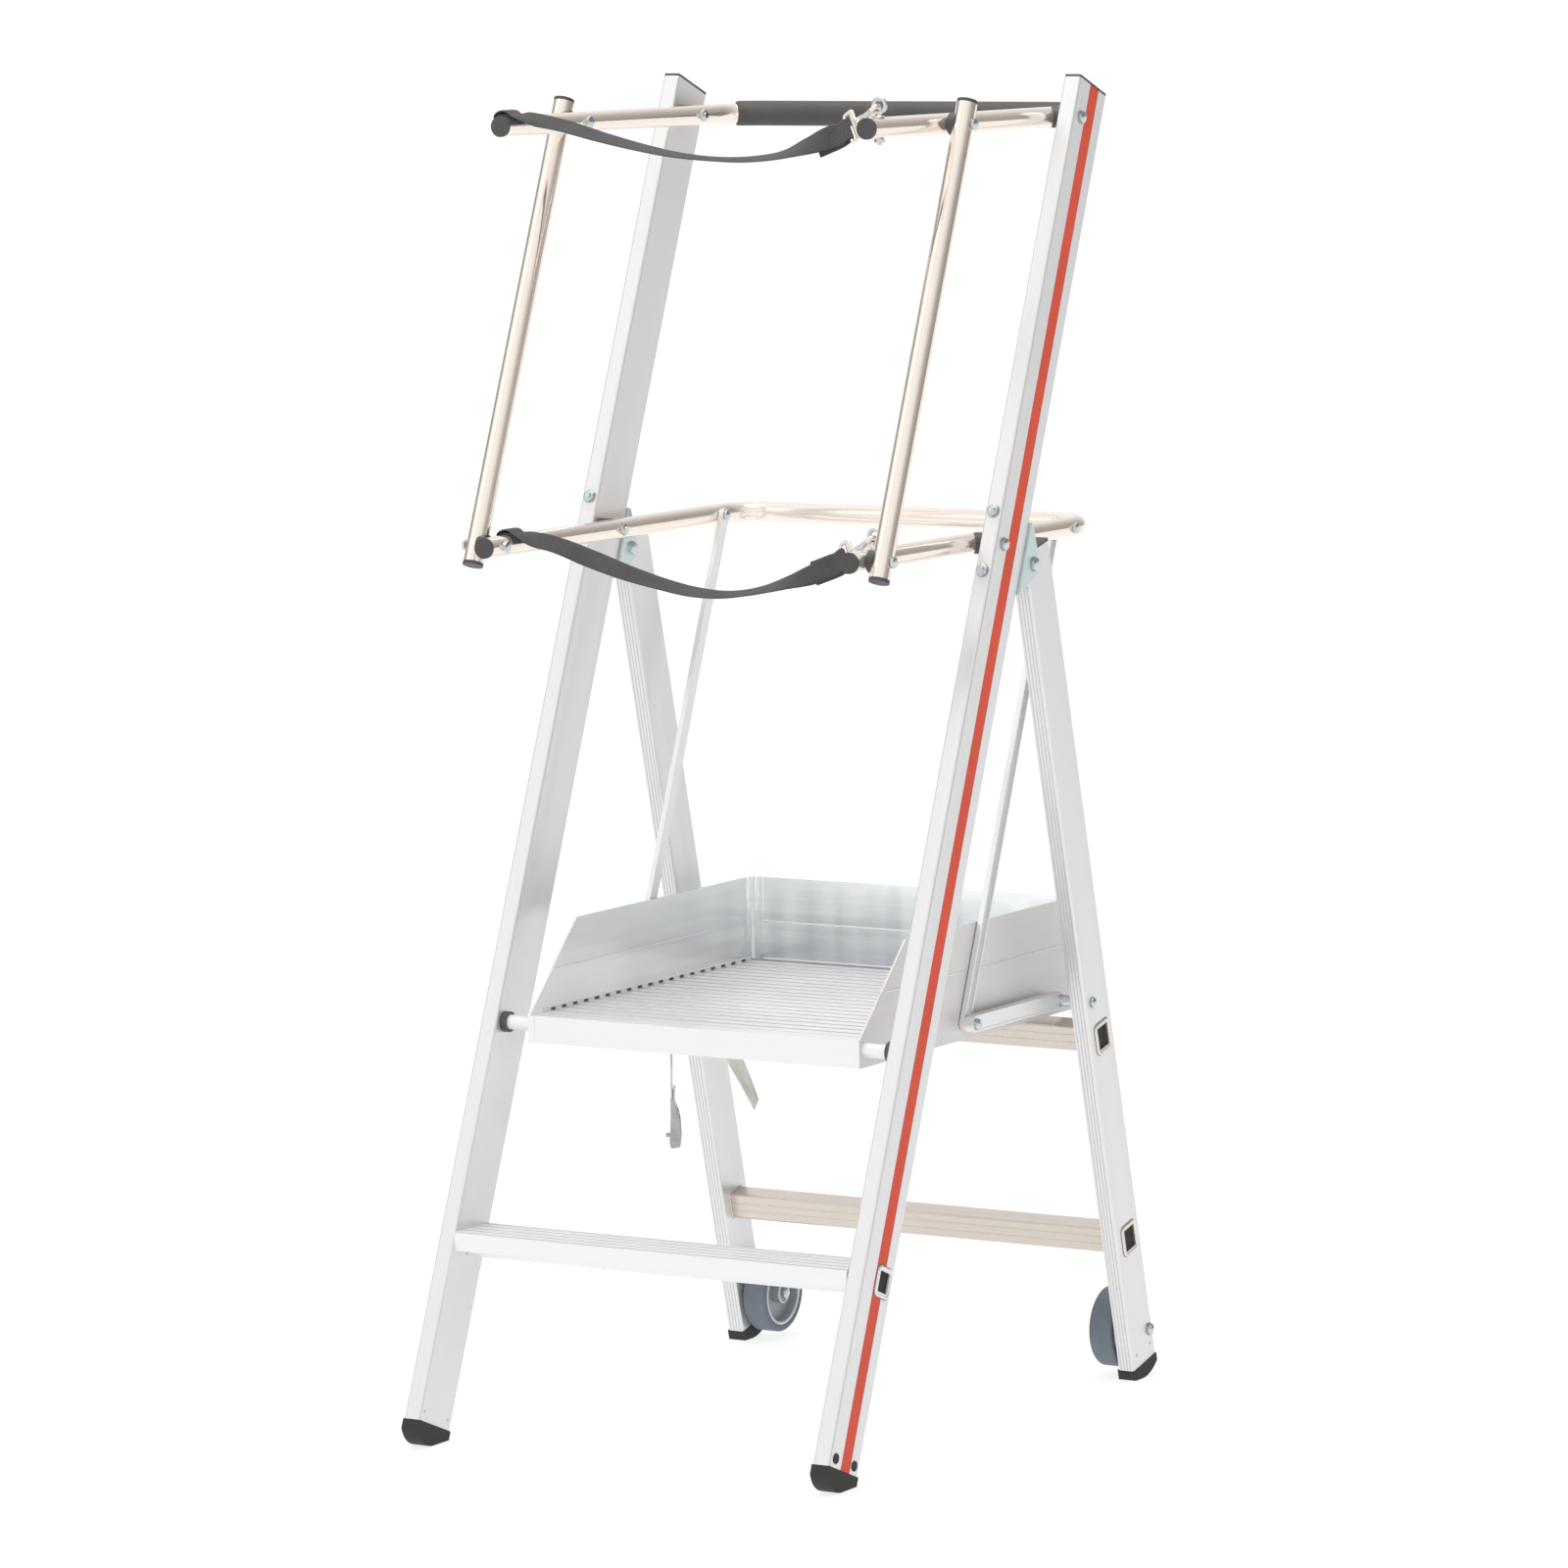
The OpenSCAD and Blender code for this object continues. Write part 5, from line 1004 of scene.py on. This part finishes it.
def link_web(face):
    """The closed outer side of a link: a plate with round ends, from three outlines across its thickness."""
    a = np.linspace(-np.pi / 2, np.pi / 2, 16)
    turn = np.concatenate([a, a + np.pi])
    ends = np.where(np.arange(len(turn)) < len(a), LINK_REAR, LINK_FRONT[0])
    x = face - np.array([1.4, 0.3, 0.0])[:, None]
    r = LINK_R - np.array([0.0, 0.0, 0.3])[:, None]
    return net(xyz(x, ends + r * np.cos(turn), LINK_FRONT[1] + r * np.sin(turn)))


class PODIUM_OT_bolts(bpy.types.Operator):
    """Make the bolts, nuts, washers, eye bolts and the links' outer sides"""

    bl_idname = "podium.bolts"
    bl_label = "Bolts"

    def execute(self, context):
        washer = 2 * context.scene.podium_trim.washer / MM
        washers = {body: [] for body in ("front_frame", "rear_frame", "mid_rail", "top_rail")}

        parts, nut = [], RAIL_X - TUBE / 2 - GAP
        for along in (MID_L, TOP_L):
            parts += bolt(front(0.0, PIVOT_S, along), ACROSS, washers["front_frame"],
                          (rod, nut - HEAD, OUTER_X + BITE, BOLT), (flat, OUTER_X, OUTER_X + 1.2, washer),
                          (hex_head, OUTER_X + BITE, OUTER_X + HEAD, HEX), (hex_head, nut, nut - HEAD, HEX),
                          (thread, nut - BITE, nut - HEAD - 1.5, BOLT))
        make("rail_pivot_bolt_set", mirrored(parts), "front_frame", "zinc", ("rail_pivot_bolts",))

        parts, end = [], STILE_D + HINGE_WALL
        for side in (-1, 1):
            base = front((INNER_X + OUTER_X) / 2, 0.0, HINGE_L + side * HINGE_SPREAD)
            parts += bolt(base, FRONT_BACK, washers["front_frame"],
                          (rod, -BITE, end + BITE, BOLT), (flat, -1.2, 0.2, washer), (hex_head, -BITE, -HEAD, HEX),
                          (thread, 0.5 - HEAD, -HEAD - 3.5, BOLT), (hex_head, end, end + HEAD, HEX),
                          (thread, end + BITE, end + HEAD + 2, BOLT))
        near, far = INNER_X - HINGE_LUG, OUTER_X + HINGE_LUG
        parts += bolt(front(0.0, STILE_D + HINGE_S, HINGE_L), ACROSS, washers["front_frame"],
                      (rod, near - BITE, far + BITE, HINGE_PIN), (flat, far, far + 1.1, washer + 2),
                      (hex_head, far + BITE, far + HEAD, HEX + 2), (hex_head, near, near - HEAD, HEX + 2))
        make("hinge_bolt_set", mirrored(parts), "front_frame", "zinc", ("hinge_bolts",))

        parts = bolt(rear(0.0, *LINK_AT), ACROSS, washers["rear_frame"],
                     (rod, LINK_X, OUTER_X + BITE, BOLT), (rod, LINK_X + 2.8, INNER_X, SPACER),
                     (flat, OUTER_X, OUTER_X + 1.1, washer - 2), (dome, OUTER_X + BITE, HEAD - 1, HEX - 0.5))
        make("link_pivot_bolt_set", mirrored(parts), "rear_frame", "zinc", ("link_pivot_bolts",))

        face = LINK_X + LINK_T - 0.8
        head = bolt((0.0, *LINK_FRONT), ACROSS, [], (rod, face - 0.2, face + 0.9, washer - 2),
                    (hex_head, face + 0.8, face + HEAD, HEX - 1), (dome, face + HEAD - 0.4, 1.4, BOLT - 1))
        for name, side in SIDES:
            make(f"{name}_link_web", on_side([link_web(face)], side), f"{name}_link", "strut_metal")
            make(f"{name}_link_bolt", on_side(head, side), f"{name}_link", "zinc")

        near, far = WHEEL_X[0] - GAP, WHEEL_X[1] + GAP
        parts = bolt(rear(0.0, *WHEEL_AT), ACROSS, washers["rear_frame"],
                     (rod, near - BITE, OUTER_X + BITE, BOLT), (hex_head, near, near - HEAD, HEX),
                     (thread, WHEEL_X[0] - 2, near - HEAD - 2, BOLT), (rod, far, INNER_X, SPACER),
                     (flat, OUTER_X, OUTER_X + 1.3, washer), (hex_head, OUTER_X + BITE, OUTER_X + HEAD, HEX),
                     (dome, OUTER_X + HEAD - 0.6, 2.6, 10.6))
        make("wheel_axle_set", mirrored(parts), "rear_frame", "zinc", ("wheel_axles",))

        near, far, post = RAIL_X - TUBE / 2, RAIL_X + TUBE / 2, POST_X + TUBE / 2 + GAP
        for rail in ("mid", "top"):
            pivot, z, eye = RAILS[rail]
            parts = bolt((0.0, pivot - POST_REACH - MID_Y, z), ACROSS, washers[f"{rail}_rail"],
                         (rod, near - BITE, post + BITE, BOLT), (hex_head, near, near - HEAD, HEX),
                         (flat, post, post + 1.1, washer - 3), (hex_head, post + BITE, post + HEAD, HEX - 1))
            if rail == "mid":
                strut = STRUT_X - GAP
                parts += bolt((0.0, pivot + STRUT_ARM - MID_Y, z), ACROSS, washers["mid_rail"],
                              (rod, strut - BITE, far + BITE, BOLT), (dome, strut, -HEAD, HEX),
                              (flat, far - 0.4, far + 1, washer - 3), (hex_head, far + 0.5, far + HEAD, HEX - 1))
            make(f"{rail}_rail_bolt_set", mirrored(parts) + eye_bolt(eye - MID_Y, z), f"{rail}_rail",
                 "zinc", (f"{rail}_rail_bolts",))
        for body, parts in washers.items():
            make(f"{body}_washers", mirrored(parts), body, "zinc_washer_painted_shade")
        return {"FINISHED"}


# Trim ---------------------------------------------------------------------------------------------


class PODIUM_OT_stile_trim(bpy.types.Operator):
    """Lay the beads beside the stripes and the groove floors in darker metal as painted shade, and set the small
    rivets of the stiles
    """

    bl_idname = "podium.stile_trim"
    bl_label = "Stile trim"

    def execute(self, context):
        look = context.scene.podium_trim
        wide, head = look.bead / MM, dome(0.0, RIVET_H, 2 * look.rivet / MM)
        spans = ((STRIPE_S[0] - wide / 2, 0.0, STILE_L), (STRIPE_S[1] + wide / 2, 0.0, TENON_L - TENON_ROOM),
                 (STRIPE_S[1] + wide / 2, TENON_L + TENON_ROOM, STILE_L))
        parts = [bead(front(OUTER_X - BEAD_SINK, s, np.linspace(low + BEAD_END, high - BEAD_END, 24)), wide,
                      BEAD_RISE, FRONT_BACK) for s, low, high in spans]
        make("stripe_beads", mirrored(parts), "front_frame", "aluminium_front")
        parts = [placed(head, front(INNER_X, *place), -ACROSS) for place in FRONT_RIVETS]
        make("front_rivets", mirrored(parts), "front_frame", "zinc")
        parts = [placed(head, rear(x, *place), axis) for x, axis in ((OUTER_X, ACROSS), (INNER_X, -ACROSS))
                 for place in REAR_RIVETS]
        make("rear_rivets", mirrored(parts), "rear_frame", "zinc")
        # Darker beads on the groove floors: painted shade in the grooves
        parts = [bead(rear(x, REAR_FACE + GROOVE_T, np.linspace(*REAR_ENDS, 3)), GROOVE_W, -GROOVE_FILL, ACROSS)
                 for x in np.linspace(INNER_X, OUTER_X, GROOVES + 2)[1:-1]]
        make("rear_stile_groove_painted_shade", mirrored(parts), "rear_frame", "groove_painted_shade")
        return {"FINISHED"}


def strip(x0, x1, y0, y1, z0, z1, soft=0.25):
    """A straight strip along Y with its corners cut."""
    w, h = (x1 - x0) / 2, (z1 - z0) / 2
    profile = [(w, h - soft), (w - soft, h), (soft - w, h), (-w, h - soft), (-w, soft - h), (soft - w, -h),
               (w - soft, -h), (w, soft - h)]
    return bar(xyz((x0 + x1) / 2, np.array([y0, y1]), (z0 + z1) / 2), profile, ACROSS)


class PODIUM_OT_platform_trim(bpy.types.Operator):
    """Lay the edge strips, slots with a black strip of painted shade behind them, painted shade lines at the ribs'
    feet, seam beads, end plates and rivets of the platform
    """

    bl_idname = "podium.platform_trim"
    bl_label = "Platform trim"

    def execute(self, context):
        look = context.scene.podium_trim
        seam, rivet = look.seam / MM, 2 * look.rivet / MM
        inner, top, foot = BOARD_X - BOARD_T, DECK_Z + RIB_H, DECK_Y - MID_Y
        y0, y1 = foot + CHANNEL_D, foot + DECK_D - BOARD_T

        # Pale flange above a slotted edge: one slot at each valley between the ribs
        slots = y0 + RIB_PITCH * np.arange(int((y1 - y0) / RIB_PITCH) + 1)
        starts = np.concatenate([[y0], slots[1:] + SLOT_L / 2])
        ends = np.concatenate([slots[1:] - SLOT_L / 2, [y1]])
        edge = top + EDGE_LIFT
        parts = [strip(inner - FLANGE_W, inner, y0, y1, edge, edge + FLANGE_T)]
        parts += [strip(inner - TOOTH_W, inner, start, end, DECK_Z, edge, 0.1)
                  for start, end in zip(starts, ends) if end - start > TOOTH_MIN]
        make("deck_edges", mirrored(parts), "platform", "aluminium_across")
        # Darker beads at the foot of each rib: painted shade lines
        run = np.linspace(RIB_FOOT_END - inner, inner - RIB_FOOT_END, 3)
        parts = [bead(xyz(run, y, DECK_Z - RIB_FOOT_DROP), RIB_FOOT_W, RIB_FOOT_RISE, UP)
                 for y in slots[:-1] + RIB_LEAD]
        make("deck_rib_painted_shade", parts, "platform", "groove_painted_shade")
        # A black strip behind the teeth, seen through the slots: painted shade in the slot openings
        slot_shade = strip(inner - SLOT_T, inner, y0 + 1, y1 - 1, DECK_Z, edge, 0.05)
        make("deck_slot_painted_shade", mirrored([slot_shade]), "platform", "black_plastic")

        z, slant = DECK_Z + TOE_SEAM, foot + TOE_RUN * TOE_SEAM / TOE_H
        parts = [bead(xyz(x, np.linspace(slant + SEAM_START, y1 + BOARD_T, 8), z), seam, rise, UP)
                 for x, rise in ((inner, -SEAM_RISE), (BOARD_X, SEAM_RISE))]
        make("side_seams", mirrored(parts), "platform", "board_sides_painted_gradient")
        half = inner - REAR_SEAM_IN
        parts = [bead(xyz(np.linspace(-half, half, 8), y1, z), REAR_SEAM_WIDER * seam, REAR_SEAM_RISE, UP),
                 bead(xyz(np.linspace(-inner, inner, 8), y1, top + FOOT_LIFT), *FOOT_SEAM, UP)]
        make("rear_seam", parts, "platform", "corner_metal")

        corner = placed(rod(top, DECK_Z + TOE_H - 0.2, CORNER_D), (inner - CORNER_IN, y1 - CORNER_IN, 0.0), UP)
        make("corner_beads", mirrored([corner]), "platform", "corner_metal")
        head = dome(0.0, BOARD_RIVET_H, rivet + BOARD_RIVET_WIDER)
        parts = [placed(head, (inner, y, top + BOARD_RIVET_LIFT), -ACROSS) for y in BOARD_RIVETS]
        make("board_rivets", mirrored(parts), "platform", "corner_metal")
        # An end plate: the outlines of a rounded bead, joined as the rows of a closed shell
        points, _ = frame_bead(PLATE_W, DECK_H - 1.0, 1.0, PLATE_EDGE)
        plate = net(points.reshape(-1, len(PLATE_EDGE), 3).transpose(1, 0, 2))
        parts = [placed(plate, (BOARD_X - PLATE_IN, foot, DECK_Z - DECK_H / 2), -REARWARD)]
        make("channel_ends", mirrored(parts), "platform", "aluminium_across")
        return {"FINISHED"}


class PODIUM_OT_bar_trim(bpy.types.Operator):
    """Set the collars, ridges and flared ends of the rear bars and the tread, with near-black rings of painted
    shadow round the flares and painted shade lines at the tread ridges' feet
    """

    bl_idname = "podium.bar_trim"
    bl_label = "Bar trim"

    def execute(self, context):
        collar = frame_bead(BAR_D, BAR_H, BAR_CORNER, COLLAR)
        parts = [seated(collar, rear(INNER_X, BAR_S, bar_along(z)), REAR_BACK, REAR_UP, -ACROSS) for z in BAR_Z]
        make("bar_collars", mirrored(parts), "rear_frame", "bar_aluminium")
        run = np.linspace(2.0 - INNER_X, INNER_X - 2.0, 6)
        parts = [bead(rear(run, BAR_S - out * BAR_D / 2, bar_along(z) + lift), RIDGE_W, RIDGE_H * out, REAR_UP)
                 for z in BAR_Z for out in (1.0, -1.0) for lift in BAR_RIDGES]
        make("bar_ridges", parts, "rear_frame", "bar_aluminium")
        # Darker beads at the feet of the tread ridges: painted shade lines
        run = np.linspace(1.0 - INNER_X, INNER_X - 1.0, 3)
        parts = [bead(xyz(run, y, TREAD_Z - TREAD_FOOT_DROP), TREAD_FOOT_W, TREAD_FOOT_RISE, UP)
                 for y in TREAD_Y + TREAD_LEAD + TREAD_PITCH * np.arange(0, TREAD_RIDGES, 2)]
        make("tread_ridge_painted_shade", parts, "front_frame", "groove_painted_shade")

        bars = [rear(OUTER_X, BAR_S, bar_along(z)) for z in BAR_Z]
        for body, wide, high, axes, places in (
                ("rear_frame", BAR_D, BAR_H, (REAR_BACK, REAR_UP, ACROSS), bars),
                ("front_frame", TENON_D, TENON_H, (FRONT_BACK, FRONT_UP, ACROSS),
                 [front(OUTER_X, TENON_S, TENON_L)])):
            for name, section, finish in (("lips", LIP, "rim_metal"), ("painted_shadow_rings", SEAT_SHADOW, "seat_painted_shadow")):
                flare = frame_bead(wide, high, BAR_CORNER, section)
                make(f"{body}_{name}", mirrored([seated(flare, place, *axes) for place in places]), body,
                     finish)
        return {"FINISHED"}


class PODIUM_OT_wheel_trim(bpy.types.Operator):
    """Set the pale rims and boss rings of the wheels"""

    bl_idname = "podium.wheel_trim"
    bl_label = "Wheel trim"

    def execute(self, context):
        _, y, z = rear(0.0, *WHEEL_AT)
        middle, half = sum(WHEEL_X) / 2, (WHEEL_X[1] - WHEEL_X[0]) / 2
        for name, side in SIDES:
            parts = [placed(ring(radius, thick), (side * middle + face * (half - depth), y, z), ACROSS)
                     for face in (-1.0, 1.0) for radius, thick, depth in WHEEL_RINGS]
            make(f"{name}_wheel_rims", parts, f"{name}_wheel", "rim_plastic")
        return {"FINISHED"}


STEPS = ("stage", "finishes", "hooks", "closure_straps", "buckle", "carrying_strap", "tubes", "bolts",
         "stile_trim", "platform_trim", "bar_trim", "wheel_trim")


class PODIUM_PT_panel(bpy.types.Panel):
    """Lists the steps that dress the podium step"""

    bl_idname = "PODIUM_PT_panel"
    bl_label = "Podium step"
    bl_space_type = "VIEW_3D"
    bl_region_type = "UI"
    bl_category = "Podium step"

    def draw(self, context):
        for step in STEPS:
            self.layout.operator(f"podium.{step}")


GROUPS = {"podium_webbing": PodiumWebbing, "podium_trim": PodiumTrim, "podium_finish": PodiumFinish,
          "podium_stage": PodiumStage}
CLASSES = (*GROUPS.values(), PODIUM_OT_finishes, PODIUM_OT_stage, PODIUM_OT_hooks, PODIUM_OT_closure_straps,
           PODIUM_OT_buckle, PODIUM_OT_carrying_strap, PODIUM_OT_tubes, PODIUM_OT_bolts, PODIUM_OT_stile_trim,
           PODIUM_OT_platform_trim, PODIUM_OT_bar_trim, PODIUM_OT_wheel_trim, PODIUM_PT_panel)


def register():
    """Register the classes and hang the settings on the scene."""
    for cls in CLASSES:
        bpy.utils.register_class(cls)
    for name, group in GROUPS.items():
        setattr(bpy.types.Scene, name, bpy.props.PointerProperty(type=group))


def unregister():
    """Undo what register did."""
    for name in GROUPS:
        delattr(bpy.types.Scene, name)
    for cls in reversed(CLASSES):
        bpy.utils.unregister_class(cls)


def main():
    """Dress the part step by step."""
    register()
    for step in STEPS:
        getattr(bpy.ops.podium, step)()


if __name__ == "__main__":
    main()
